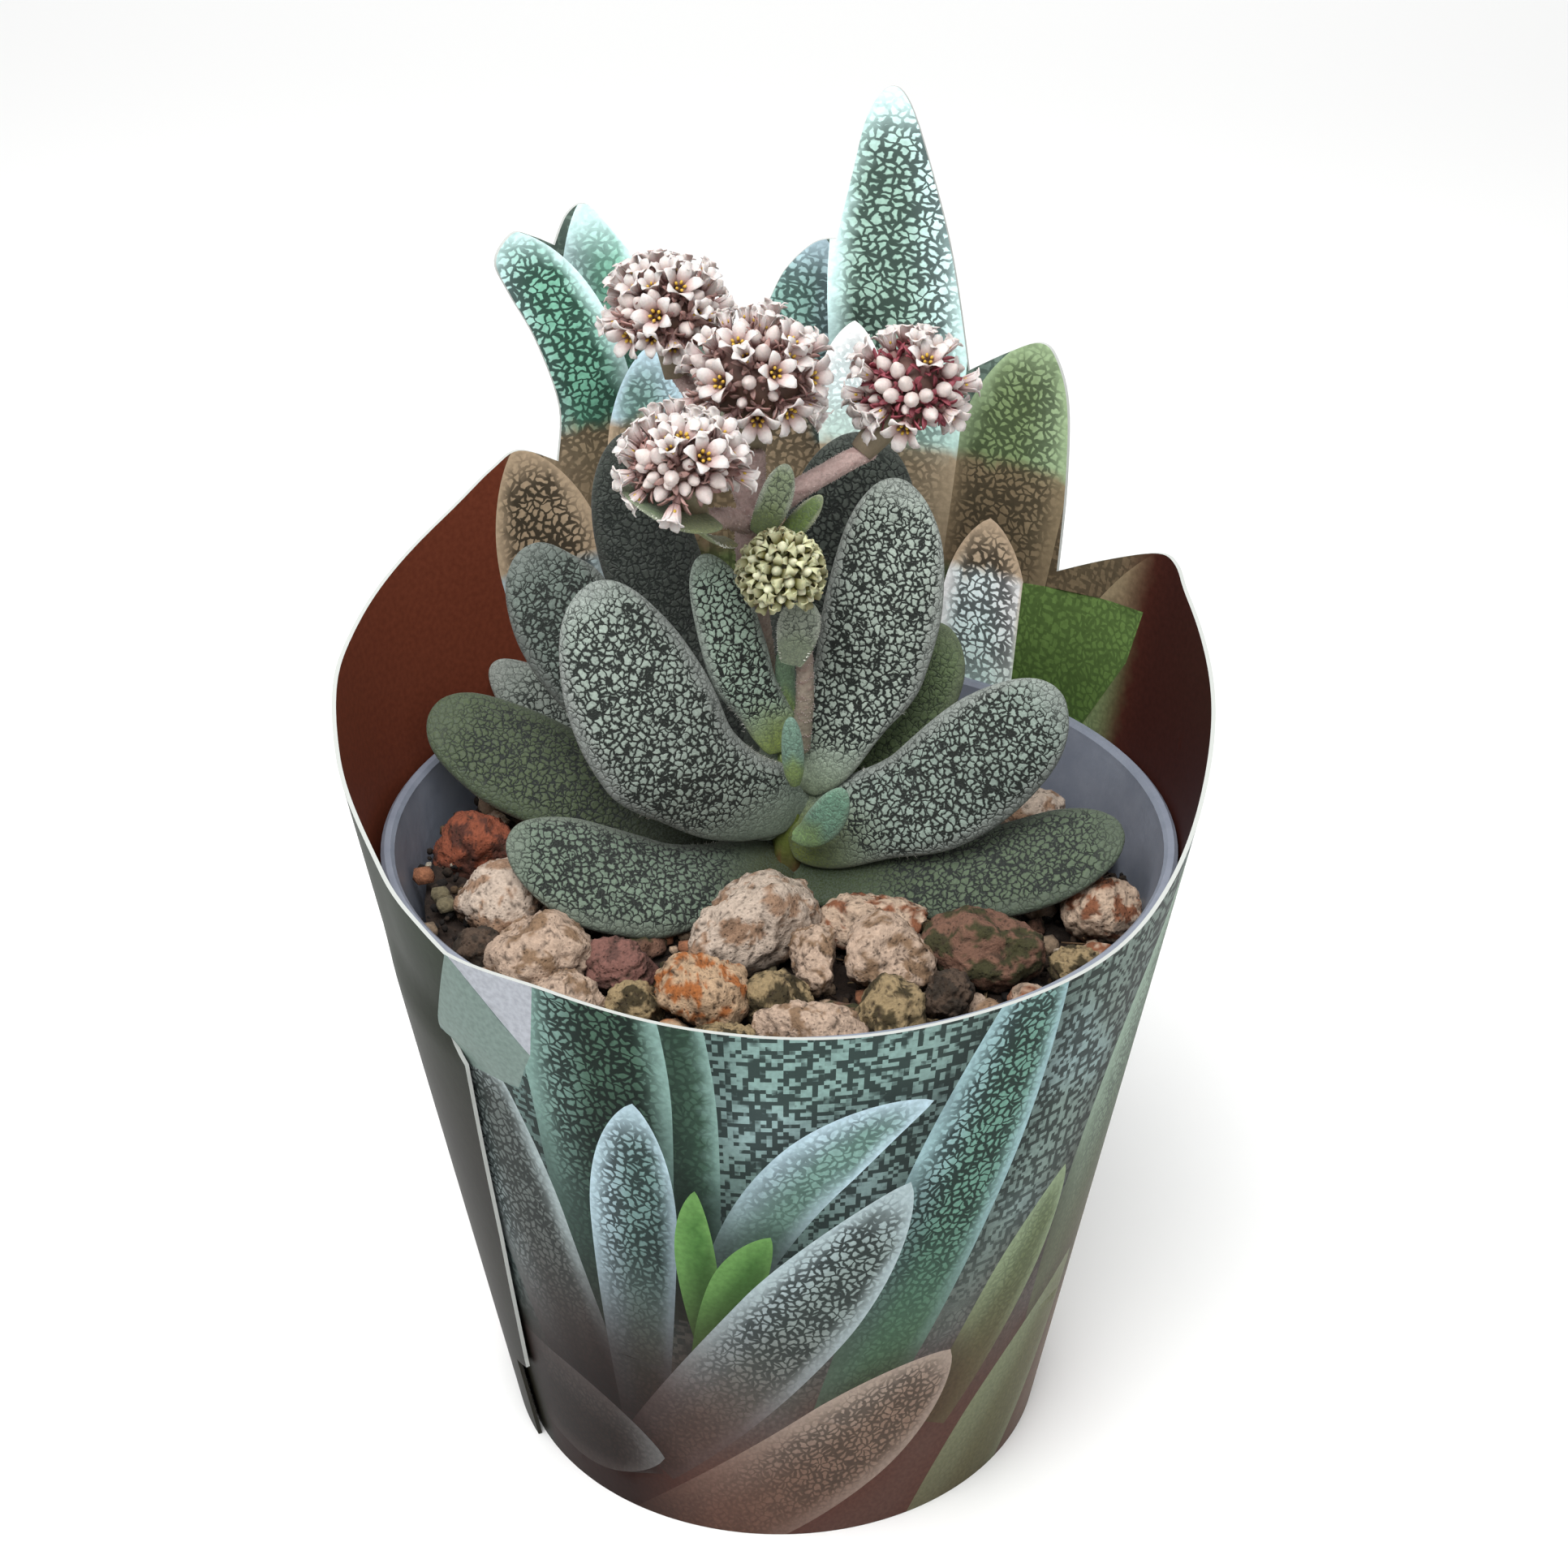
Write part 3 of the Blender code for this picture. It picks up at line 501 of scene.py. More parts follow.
def leaf_skin():
    """Waxy leaf skin under silver-grey scales. The scales are lighter islands about 0.9 mm across, raised a
    little, and the dark green flesh shows in the cracks between them. Matt, with a faint wax sheen."""
    look, shader, net = new_material("waxy_scaled_leaf_skin", 0.62, 1.42, Specular_IOR_Level=0.42,
                                     Sheen_Weight=0.12, Sheen_Roughness=0.6)
    cover = net.layer("skin", "Alpha")
    place = net.places()
    bent = net.warped(place, 1.25, 3.0, 1.0)
    islands = net.cells(bent, 1.30)
    patchy = net.noise(place, 0.85, 2.0)
    width = net.product(cover, net.span(patchy, 0.33, 0.67, 0.13, 0.30), 0.008)
    crack = net.product(net.span(islands, 0.0, width, 1.0, 0.0, "SMOOTHSTEP"), 1.8, clamp=True)
    depth = net.product(cover, 1.6, 0.16, clamp=True)
    fissure = net.span(net.cells(bent, 3.1), 0.0, 0.13, net.span(cover, 0.0, 1.0, 0.62, 0.12), 0.0)
    speck = net.noise(place, 3.4, 3.0)
    tone = net.cells(bent, 1.30, "F1", output="Color")
    shade = net.product(net.span(speck, 0.3, 0.7, 0.80, 1.16), net.span(tone, 0.0, 1.0, 0.86, 1.12))
    scales = net.mix(fissure, net.scaled(net.layer("skin"), shade), hex_colour("4A564C"))
    colour = net.mix(net.product(crack, depth), scales, hex_colour("0F1812"))
    lift = net.product(net.span(islands, 0.0, 0.22, 0.0, 1.0), depth)
    net.surface(shader, colour, net.product(speck, 0.35, lift), 0.13, 0.8)
    return look


def painted_look(name, roughness, scale, contrast, bump_mm, pits=None, **sockets):
    """A material whose colour is painted on, mottled and roughened by noise of one real size."""
    look, shader, net = new_material(name, roughness, **sockets)
    place = net.places()
    height = net.noise(place, scale, 5.0, 0.65)
    factor = net.span(height, 0.3, 0.7, 1 - contrast, 1 + contrast)
    # pits are sunk in the bump and darkened in colour: painted shade in the pits
    if pits:
        pit = net.span(net.cells(place, pits, "F1"), 0.08, 0.34, 0.62, 1.0)
        factor = net.product(factor, pit)
        height = net.product(height, 1.0, pit)
    net.surface(shader, net.scaled(net.layer("tint"), factor), height, bump_mm)
    return look


def moulded_plastic():
    """Injection-moulded polypropylene, light blue-grey, with a satin skin, a faint orange-peel ripple and
    a film of dust."""
    look, shader, net = new_material("moulded_polypropylene", 0.42, 1.49, Specular_IOR_Level=0.4)
    place = net.places()
    dust = net.noise(place, 0.22, 6.0, 0.7)
    net.tree.links.new(net.span(dust, 0.0, 1.0, 0.34, 0.6), shader.inputs["Roughness"])
    colour = net.mix(dust, hex_colour("666D7C"), hex_colour("8B909B"))
    net.surface(shader, colour, net.noise(place, 0.9, 3.0), 0.05)
    return look


def printed_card():
    """Offset-printed, lacquered card. The printed picture is laid on as colour, and its leaf scales are a
    crackle of about 1 mm that the print's own coordinates carry, so it follows each printed leaf. Where the
    picture is coarse, the crackle is drawn in square blocks, as an enlarged picture prints."""
    look, shader, net = new_material("printed_lacquered_card", 0.46, 1.5, Specular_IOR_Level=0.05)
    picture = net.layer("picture")
    cracked, coarse = net.node("SeparateColor", {"Color": net.layer("marks")}).outputs[:2]
    flat = net.node("UVMap", uv_map="flat_mm").outputs[0]
    block = net.node("VectorMath", {0: flat, 1: (0.5, 0.5, 0.5)}, operation="SNAP").outputs[0]
    bent = net.warped(net.mix(coarse, flat, net.scaled(block, 0.62), "VECTOR"), 0.75, 2.0, 1.1, "2D")
    patch = net.noise(flat, 0.35, 3.0, space="2D")
    width = net.product(coarse, -0.05, net.span(patch, 0.32, 0.68, 0.15, 0.40))
    near = net.span(net.cells(bent, 1.08, space="2D"), 0.0, width, 1.0, 0.0, "SMOOTHSTEP")
    dark = net.product(net.product(near, 2.6, clamp=True), cracked, clamp=True)
    mottle = net.span(net.noise(flat, 1.7, 4.0, space="2D"), 0.3, 0.7, 0.88, 1.12)
    shadow = net.mix(0.10, hex_colour("0A1110"), picture)
    net.surface(shader, net.mix(dark, net.scaled(picture, mottle), shadow), patch, 0.04, 0.5)
    return look


# ---------------------------------------------------------------- leaves

def leaf_places(piece):
    """For each point of a leaf: its share from base to tip, and from one margin (-1) to the other (1)."""
    points = place_of(piece)
    centre = points.mean(0)
    axes = np.linalg.svd(points - centre, full_matrices=False)[2]
    along = (points - centre) @ axes[0]
    ends = [points[along.argmin()], points[along.argmax()]]
    reach = [math.hypot(e[0] - STEM_AXIS.x, e[1] - STEM_AXIS.y) + 0.3 * e[2] for e in ends]
    if reach[0] > reach[1]:
        along = -along
    share = (along - along.min()) / np.ptp(along)
    side = (points - centre) @ axes[1]
    slices = np.linspace(0, 1, 25)
    low, high = [], []
    for cut in slices:
        near = side[np.abs(share - cut) < 0.045]
        low.append(near.min())
        high.append(near.max())
    middle = np.interp(share, slices, (np.array(low) + high) / 2)
    half = np.interp(share, slices, (np.array(high) - low) / 2)
    return points, share, np.clip((side - middle) / np.maximum(half, 0.4 * MM), -1, 1), side - middle, axes


def make_leaf(node, look, hair_spots):
    """One leaf or bract from its CAD blade: smoothed, its base drawn in to the stem, and painted."""
    margin, scales, bare, bare_share, cracks = LEAF_LOOKS[node]
    true_leaf = not node.startswith("bract")
    piece = fine_copy(node, "skin_" + node, 3)
    points, share, across, offset, axes = leaf_places(piece)
    normals = normals_of(piece)
    swell = np.array([noise.noise(Vector(p) * 160) for p in points])
    points += normals * (swell * 0.25 * MM)[:, None]
    if node.startswith("leaf"):
        # the blade's foot runs in to clasp the stem
        foot = points[share < 0.10].mean(0)
        stretch = (np.array(STEM_AXIS)[:2] - foot[:2]) * 0.85
        points[:, :2] += stretch * step_up(0.40 - share, 0.0, 0.40)[:, None]
        points += axes[1] * (offset * 0.55 * step_up(0.26 - share, 0.0, 0.24))[:, None]
    if node == "bract_left_head":
        points[:, 2] += 2.2 * MM
    if node == "bract_bud_stalk":
        points += (points - points.mean(0)) * 0.3 + [0, 0, 1.4 * MM]
    move_points(piece, points)
    edge = np.abs(across)
    skin = mixed(ink(scales), ink(margin), step_up(edge, 0.62, 0.92))
    skin = mixed(skin, ink(margin), step_up(share, 0.86, 1.0) * 0.8)
    skin = mixed(skin, ink(bare), step_up(bare_share * (1.8 - 0.6 * edge) - share, -0.16, 0.12))
    skin *= (0.92 + 0.16 * (swell[:, None] * 0.5 + 0.5))
    strength = cracks * (1 - 0.80 * step_up(edge, 0.60, 1.0)) * (1 - 0.75 * step_up(share, 0.80, 1.0))
    strength *= step_up(share, bare_share * 0.9, bare_share * 0.9 + 0.22)
    paint(piece, "skin", np.clip(skin, 0, 1), strength * 0.92 + 0.03)
    piece.data.materials.append(look)
    hand_over(piece, "leaf" if node.startswith("leaf") else ("young_leaf" if true_leaf else "bract"), node)
    fringe = (edge > 0.93) & (share > 0.05) & (share < (0.30 if true_leaf else 0.95))
    fringe &= not node.startswith("young")
    outward = np.sign(across)[:, None] * axes[1]
    for k in np.nonzero(fringe)[0][:: 2 if true_leaf else 9]:
        hair_spots.append((points[k], outward[k] * 0.75 + normals[k] * 0.5, 1.0 if true_leaf else 0.5))


# ---------------------------------------------------------------- flowers

def petal_pattern(name, length, width, cup, curl, reach, thick, colours):
    """A pointed petal that stands on the origin and leans out along +Y, from a grid bent to shape."""
    petal = primitive("grid", name, x_subdivisions=2, y_subdivisions=4, size=1.0)
    points = place_of(petal)
    share = points[:, 1] + 0.5
    points[:, 0] *= width * np.sin(np.pi * np.clip(share * 0.80 + 0.16, 0, 1)) ** 0.9
    points[:, 2] = cup * (points[:, 0] / width) ** 2 * 4 + length * curl[0] * share - length * curl[1] * share ** 3
    points[:, 1] = share * length * reach
    move_points(petal, points)
    apply_modifier(petal, "SOLIDIFY", thickness=thick, offset=0.0)
    return Pattern(petal, colours)


def bulb_pattern(name, segments, rings, size, colours, pinch=0.0):
    """A small bud or anther from a sphere, drawn to a soft point, with five shallow grooves."""
    bulb = primitive("uv_sphere", name, segments=segments, ring_count=rings, radius=1.0)
    points = place_of(bulb)
    turn = np.arctan2(points[:, 1], points[:, 0])
    taper = 1 - pinch * step_up(points[:, 2], -0.1, 1.0)
    groove = 1 - 0.10 * np.abs(np.sin(2.5 * turn)) ** 6 * (segments > 8)
    points[:, :2] *= (taper * groove)[:, None]
    move_points(bulb, points * np.array(size))
    return Pattern(bulb, colours)


def plain_pattern(thing):
    return Pattern(thing, lambda points: np.ones((len(points), 3)))


def by_height(low_code, high_code, low, high):
    return lambda points: mixed(ink(low_code), ink(high_code), step_up(points[:, 2], low, high))


def by_reach(low_code, high_code, low, high):
    return lambda points: mixed(ink(low_code), ink(high_code), step_up(points[:, 1], low, high))


def flower_patterns(crimson):
    sepal_dark = "7C2A36" if crimson else "8C5E5A"
    sepal_mid = "B8606C" if crimson else "C9A59C"
    return {
        "petal": petal_pattern("petal", 2.75 * MM, 1.50 * MM, 0.18 * MM, (1.20, 0.56), 0.70, 0.10 * MM,
                               by_reach("D2A9A4", "F3EAE6", 0.1 * MM, 1.1 * MM)),
        "sepal": petal_pattern("sepal", 1.45 * MM, 0.62 * MM, 0.15 * MM, (1.10, 0.25), 0.9, 0.14 * MM,
                               by_reach(sepal_mid, sepal_dark, 0.6 * MM, 1.5 * MM)),
        "bud": bulb_pattern("bud", 10, 7, (0.86 * MM, 0.86 * MM, 1.20 * MM),
                            by_height("C99A98", "F0E2DC", -0.9 * MM, 0.1 * MM), 0.35),
        "anther": bulb_pattern("anther", 6, 4, (0.19 * MM, 0.19 * MM, 0.28 * MM),
                               by_height("B8821C", "EBC34A", -0.2 * MM, 0.1 * MM)),
        "heart": bulb_pattern("heart", 8, 5, (0.46 * MM, 0.46 * MM, 0.42 * MM),
                              by_height("2E1A10", "5A3A1C", -0.2 * MM, 0.3 * MM)),
        "pedicel": Pattern(primitive("cone", "pedicel", vertices=14, radius1=1.35 * MM, radius2=2.2 * MM, depth=1.0),
                           by_height("9A8A74", "7C7A58", -0.5, 0.5)),
        "tube": bulb_pattern("tube", 8, 5, (0.62 * MM, 0.62 * MM, 1.5 * MM),
                             by_height("7A524C", "A8827C", -1.2 * MM, 1.0 * MM), 0.1),
    }


def add_sepals(cluster, pattern, seat, count, spread, size, dice):
    for k in range(count):
        turn = Matrix.Rotation(math.tau * (k + dice.uniform(-0.1, 0.1)) / count, 4, "Z")
        cluster.place(pattern, seat @ turn @ shifted(0, spread, 0) @ Matrix.Scale(size, 4), dice.uniform(0.75, 1.2))


def add_open_flower(cluster, kit, seat, dice, size, closed=0.0):
    scale = Matrix.Scale(size, 4)
    cluster.place(kit["tube"], seat @ shifted(0, 0, -1.3 * MM) @ scale)
    add_sepals(cluster, kit["sepal"], seat @ shifted(0, 0, -1.0 * MM), 5, 0.50 * MM, size, dice)
    for k in range(5):
        turn = Matrix.Rotation(math.tau * (k + 0.5 + dice.uniform(-0.06, 0.06)) / 5, 4, "Z")
        lean = shifted(0, 0.40 * MM * size, -0.1 * MM) @ Matrix.Rotation(closed, 4, "X")
        cluster.place(kit["petal"], seat @ turn @ lean @ Matrix.Scale(size * dice.uniform(0.92, 1.06), 4),
                      dice.uniform(0.93, 1.05))
        anther = shifted(0, 0.50 * MM * size, 0.74 * MM)
        cluster.place(kit["anther"], seat @ turn @ anther @ Matrix.Rotation(-0.5, 4, "X") @ scale)
    cluster.place(kit["heart"], seat @ shifted(0, 0, 0.02 * MM) @ scale)


def add_bud(cluster, kit, seat, dice, size):
    scale = Matrix.Scale(size, 4)
    cluster.place(kit["tube"], seat @ shifted(0, 0, -1.6 * MM) @ scale)
    add_sepals(cluster, kit["sepal"], seat @ shifted(0, 0, -1.3 * MM), 4, 0.55 * MM, size, dice)
    cluster.place(kit["bud"], seat @ scale, dice.uniform(0.9, 1.06))


def head_spots(count, spare, gap):
    """Golden-angle directions over a dome, leaving out those too near the spare ones."""
    found = []
    for k in range(count):
        level = 1 - 1.62 * (k + 0.5) / count
        ring = math.sqrt(max(0.0, 1 - level * level))
        spot = Vector((ring * math.cos(GOLDEN_ANGLE * k), ring * math.sin(GOLDEN_ANGLE * k), level))
        if all((spot - other).length > gap for other in spare):
            found.append(spot)
    return found


def make_head(node, kit, core, look, dice, stalk_points):
    """A dome of open flowers, half-open ones and buds on a core, tied to the stalk by a pedicel."""
    low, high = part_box(node)
    middle, half = middle_and_half(low, high)
    cluster = Cluster()
    cluster.place(core, shifted(*middle) @ stretched(half.x - 2.3 * MM, half.y - 2.3 * MM, half.z - 2.2 * MM))

    def seat(direction, depth):
        inner = Vector([h - depth for h in half])
        spot = middle + Vector([d * s for d, s in zip(direction, inner)])
        normal = Vector([d / s for d, s in zip(direction, inner)]).normalized()
        lean = Vector((dice.uniform(-0.16, 0.16), dice.uniform(-0.16, 0.16), dice.uniform(-0.1, 0.2)))
        return shifted(*spot) @ aim(normal + lean, dice.uniform(0, math.tau))

    opened = [Vector(d).normalized() for d in OPEN_FLOWERS[node]]
    large = [Vector(d).normalized() for d in LARGE_BUDS[node]]
    for direction in opened:
        add_open_flower(cluster, kit, seat(direction, 1.0 * MM), dice, dice.uniform(0.96, 1.06))
    for direction in large:
        add_bud(cluster, kit, seat(direction, 1.1 * MM), dice, dice.uniform(0.92, 1.05))
    for direction in head_spots(HEAD_PLACES, opened + large, 0.25):
        behind = direction.y > 0.1 or direction.z > 0.55
        if dice.random() < (0.75 if behind else 0.30):
            add_open_flower(cluster, kit, seat(direction, dice.uniform(0.5, 1.9) * MM), dice,
                            dice.uniform(0.80, 1.0), dice.uniform(0.15, 0.5))
        else:
            add_bud(cluster, kit, seat(direction, dice.uniform(1.3, 2.0) * MM), dice, dice.uniform(0.65, 0.95))
    start = min(stalk_points, key=lambda stalk: (stalk - middle).length)
    ahead = middle - start
    drawn = shifted(*((start + middle) / 2 - ahead * 0.15)) @ aim(ahead)
    cluster.place(kit["pedicel"], drawn @ stretched(1, 1, ahead.length * 1.2))
    hand_over(cluster.finish("cluster_" + node, look), "flowers", node)


def make_bud_head(look, dice):
    """Tight cream and yellow-green buds, each in a curly cup of olive sepals."""
    low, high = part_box("bud_head")
    middle, half = middle_and_half(low, high)
    sepal = petal_pattern("green_sepal", 1.75 * MM, 1.15 * MM, 0.30 * MM, (1.75, 1.45), 0.85, 0.14 * MM,
                          by_reach("716D33", "E6E5B8", 0.3 * MM, 1.15 * MM))
    bud = bulb_pattern("green_bud", 10, 6, (0.66 * MM, 0.66 * MM, 0.90 * MM),
                       by_height("99994D", "FFFFD8", -0.5 * MM, 0.5 * MM), 0.45)
    core = bulb_pattern("green_core", 12, 8, (1, 1, 1), by_height("3A361C", "5A562E", -1, 1))
    cluster = Cluster()
    cluster.place(core, shifted(*middle) @ stretched(*[h - 1.0 * MM for h in half]))
    inner = Vector([h - 0.75 * MM for h in half])
    for direction in head_spots(BUD_HEAD_PLACES, [], 0.0):
        spot = middle + Vector([d * s for d, s in zip(direction, inner)])
        turn = shifted(*spot) @ aim(direction, dice.uniform(0, math.tau))
        size = dice.uniform(0.8, 1.12)
        add_sepals(cluster, sepal, turn @ shifted(0, 0, -0.5 * MM), 4, 0.36 * MM, size * 0.9, dice)
        cluster.place(bud, turn @ Matrix.Scale(size, 4), dice.uniform(0.75, 1.1))
    hand_over(cluster.finish("cluster_bud_head", look), "buds", "bud_head")


# ---------------------------------------------------------------- the printed card

def smooth_run(points, steps):
    """A smooth line through the points, each gap cut into equal steps."""
    line = []
    for i in range(len(points) - 1):
        before = Vector(points[max(i - 1, 0)])
        start, end = Vector(points[i]), Vector(points[i + 1])
        after = Vector(points[min(i + 2, len(points) - 1)])
        for k in range(steps):
            t = k / steps
            line.append(0.5 * ((2 * start) + (end - before) * t + (2 * before - 5 * start + 4 * end - after) * t ** 2
                               + (3 * start - before - 3 * end + after) * t ** 3))
    line.append(Vector(points[-1]))
    return line


def card_lift(angle, level):
    """How far the card stands off its cone where its two ends overlap and lock."""
    low = FLAP_LIFT * step_up(-angle, 30, 46) * step_up(level, 59.5, 65.5)
    high = FLAP_LIFT * (step_up(angle, 225, 262) - step_up(angle, 278, 294) * step_up(level, 60.5, 66.5))
    return np.where(angle < 60, low, high)


def card_points(flat, outward):
    """Points on the card's inner face (0) or outer face (1), from rows of (degrees, millimetres up)."""
    angle, level = flat[:, 0], flat[:, 1]
    height = level * MM
    radius = SLEEVE_FOOT_RADIUS + (SLEEVE_RIM_RADIUS - SLEEVE_FOOT_RADIUS) * height / POT_HEIGHT
    radius = radius + card_lift(angle, level) + CARD * outward
    turn = np.radians(angle)
    return np.stack([radius * np.sin(turn), -radius * np.cos(turn), height], 1)


def cut_up(line, longest):
    """The closed line with its long stretches divided."""
    fine = []
    for a, b in zip(line, line[1:] + line[:1]):
        reach = math.hypot((b[0] - a[0]) * MM_PER_DEGREE, b[1] - a[1])
        parts = max(1, math.ceil(reach / longest))
        fine += [(a[0] + (b[0] - a[0]) * k / parts, a[1] + (b[1] - a[1]) * k / parts) for k in range(parts)]
    return fine


def card_outline():
    line = [(HIDDEN_END, 0.0), (FLAP_END, 0.0)] + list(SEAM[1:-1])
    for stretch in UPPER_EDGE:
        line += [tuple(point) for point in smooth_run(stretch, 6)[:-1]]
    return cut_up(line + list(TAB[:-1]), 1.3)


def within(points, outline):
    """Which flat points lie inside a closed outline."""
    x, y = points[:, 0], points[:, 1]
    hit = np.zeros(len(points), bool)
    for (x0, y0), (x1, y1) in zip(outline, outline[1:] + outline[:1]):
        if y0 == y1:
            continue
        hit ^= ((y0 > y) != (y1 > y)) & (x < x0 + (y - y0) * (x1 - x0) / (y1 - y0))
    return hit


def reach_to(points, outline):
    """Distance in millimetres from each flat point to an outline."""
    here = points * FLAT_SCALE
    best = np.full(len(points), 1e9)
    for a, b in zip(outline, outline[1:] + outline[:1]):
        a, b = np.array(a) * FLAT_SCALE, np.array(b) * FLAT_SCALE
        side = b - a
        share = np.clip((here - a) @ side / max(side @ side, 1e-9), 0, 1)
        best = np.minimum(best, np.linalg.norm(here - a - share[:, None] * side, axis=1))
    return best


class PrintedLeaf:
    """One leaf of the printed picture: its outline, and where a point lies on it."""

    def __init__(self, base, middle, tip, half, palette, cracks):
        base, middle, tip = (np.array(p) * FLAT_SCALE for p in (base, middle, tip))
        pull = middle * 2 - (base + tip) / 2
        self.share = np.linspace(0, 1, 41)
        s = self.share[:, None]
        self.line = base * (1 - s) ** 2 + pull * 2 * s * (1 - s) + tip * s ** 2
        ahead = np.gradient(self.line, axis=0)
        ahead /= np.linalg.norm(ahead, axis=1)[:, None]
        self.side = np.stack([ahead[:, 1], -ahead[:, 0]], 1)
        body = 1 - 0.35 * (1 - self.share / 0.55) ** 2
        point = np.clip(1 - (np.maximum(self.share - 0.55, 0) / 0.45) ** 1.75, 0, 1) ** 0.80
        self.half = half * np.where(self.share < 0.55, body, point)
        self.palette = [ink(code) for code in PRINT_PALETTES[palette]]
        self.lit_side = 1 if palette == "jade" else -1
        self.cracks = cracks
        right = self.line + self.side * self.half[:, None]
        left = self.line - self.side * self.half[:, None]
        ring = np.vstack([right, left[::-1][1:]]) / FLAT_SCALE
        self.outline = [tuple(p) for p in ring]

    def colour(self, flat):
        """The print's colour and crack strength at rows of flat points."""
        here = flat * FLAT_SCALE
        gap = np.linalg.norm(here[:, None, :] - self.line[None], axis=2)
        near = gap.argmin(1)
        share = self.share[near]
        across = np.einsum("ij,ij->i", here - self.line[near], self.side[near])
        across = np.clip(across / np.maximum(self.half[near], 0.3), -1, 1)
        lit, body, base = self.palette
        rim = np.maximum(step_up(np.abs(across), 0.62, 0.98), step_up(self.lit_side * across, 0.0, 0.7) * 0.85)
        colour = mixed(body, lit, np.maximum(rim, step_up(share, 0.76, 0.97) * 0.9))
        colour = mixed(colour, base, step_up(0.55 - share, -0.12, 0.42) * 0.85)
        cracks = self.cracks * (1 - step_up(np.abs(across), 0.60, 0.95)) * (1 - step_up(share, 0.82, 1.0))
        cracks *= 0.35 + 0.65 * step_up(share, 0.22, 0.5)
        return colour, cracks


def outer_print(flat, owner, leaves):
    """Colours and marks of the picture on the outside, for each corner, with painted shade over its lower left."""
    angle, level = flat[:, 0], flat[:, 1]
    colour = mixed(ink("92B2AC"), ink("84958C"), step_up(angle, 10, 60))
    cloud = np.array([noise.noise(Vector((a * 0.06, z * 0.09, 0))) for a, z in flat])
    colour = mixed(colour, ink("A8C4C6"), step_up(cloud, -0.1, 0.45) * 0.6)
    cracks = np.full(len(flat), 0.95)
    coarse = np.full(len(flat), 1.0)
    colour, cracks = shade_leaves(flat, owner, leaves, colour, cracks, coarse)
    low = step_up(34 - level + 0.12 * angle, -16, 30)
    colour = mixed(colour, ink("5C362C"), low * np.where(owner < 0, 0.95, 0.52))
    cracks = cracks * (1 - 0.25 * low)
    coarse = coarse * (low < 0.45)
    # painted shade: the lower left of the card's outside is darkened
    shade = step_up(-angle, 10, 34) * step_up(40 - level, 0, 22)
    colour = colour * (1 - np.outer(shade, (0.80, 0.86, 0.87)))
    cracks = np.where(owner < 0, cracks * (1 - low), cracks)
    right = step_up(angle, 48, 74) * step_up(-angle, -220, -100)
    colour = mixed(colour, ink("8A7E6C"), right * 0.45 * step_up(60 - level, 0, 50))
    plain = step_up(angle, 262, 276) + (angle < 0) * step_up(-angle, 56, 57)
    dull = mixed(ink("24221B"), ink("24301F"), step_up(level, 45, 80))
    dull = dull * (0.9 + 0.2 * step_up(np.sin(level * 0.23 + angle * 0.11), -1, 1))[:, None]
    colour = mixed(colour, dull, plain)
    cracks = cracks * (1 - np.clip(plain, 0, 1))
    return colour, cracks, coarse


def shade_leaves(flat, owner, leaves, colour, cracks, coarse):
    """Lay the leaves on from back to front, each dropping a soft shade on what lies behind it."""
    for k, leaf in enumerate(leaves):
        mine = owner == k
        if mine.any():
            tones, marks = leaf.colour(flat[mine])
            colour[mine] = tones
            cracks[mine] = marks
            coarse[mine] = 0.0
        behind = owner < k
        if behind.any():
            gap = reach_to(flat[behind], leaf.outline)
            colour[behind] *= (1 - 0.45 * (1 - step_up(gap, 0.0, 4.0)))[:, None]
    return colour, cracks


def inner_print(flat, owner, leaves):
    """Colours and marks of the picture on the inside, for each corner, with painted shade on its sides and below its
    band.
    """
    angle, level = flat[:, 0], flat[:, 1]
    colour = mixed(ink("5E6A44"), ink("8FA79A"), step_up(level, 84, 112))
    cracks = np.full(len(flat), 0.5)
    coarse = np.full(len(flat), 0.6)
    colour, cracks = shade_leaves(flat, owner, leaves, colour, cracks, coarse)
    edge = 85.6 + (angle - 141) * 0.02
    band = step_up(level, edge - 0.3, edge + 0.3) * step_up(98.6 + (angle > 175) * 4.0 - level, -0.3, 0.3)
    light = colour.mean(1, keepdims=True)
    tinted = ink("8A765E") * (0.45 + 2.1 * light) * np.where(angle > 175, 1.45, 1.0)[:, None]
    colour = mixed(colour, tinted, band * 0.92)
    # painted shade: the inner sides and the strip below the band take a dark brown, deepest low down and towards the
    # right as seen from the front
    sides = np.maximum(step_up(angle, 219.0, 222.0), step_up(-angle, -124.0, -116.0))
    dark = mixed(ink("6A3626"), ink("4A2A20"), step_up(80 - level, 0, 30))
    dark = mixed(dark, ink("341A16"), step_up(-angle, -140, -110))
    below = step_up(86 - level, 0, 4) * step_up(angle, 205, 214)
    plain = np.maximum(sides, below * 0.85) * (owner != 8)
    colour = mixed(colour, dark, plain)
    cracks = cracks * (1 - plain) * 0.95
    return colour, cracks, coarse


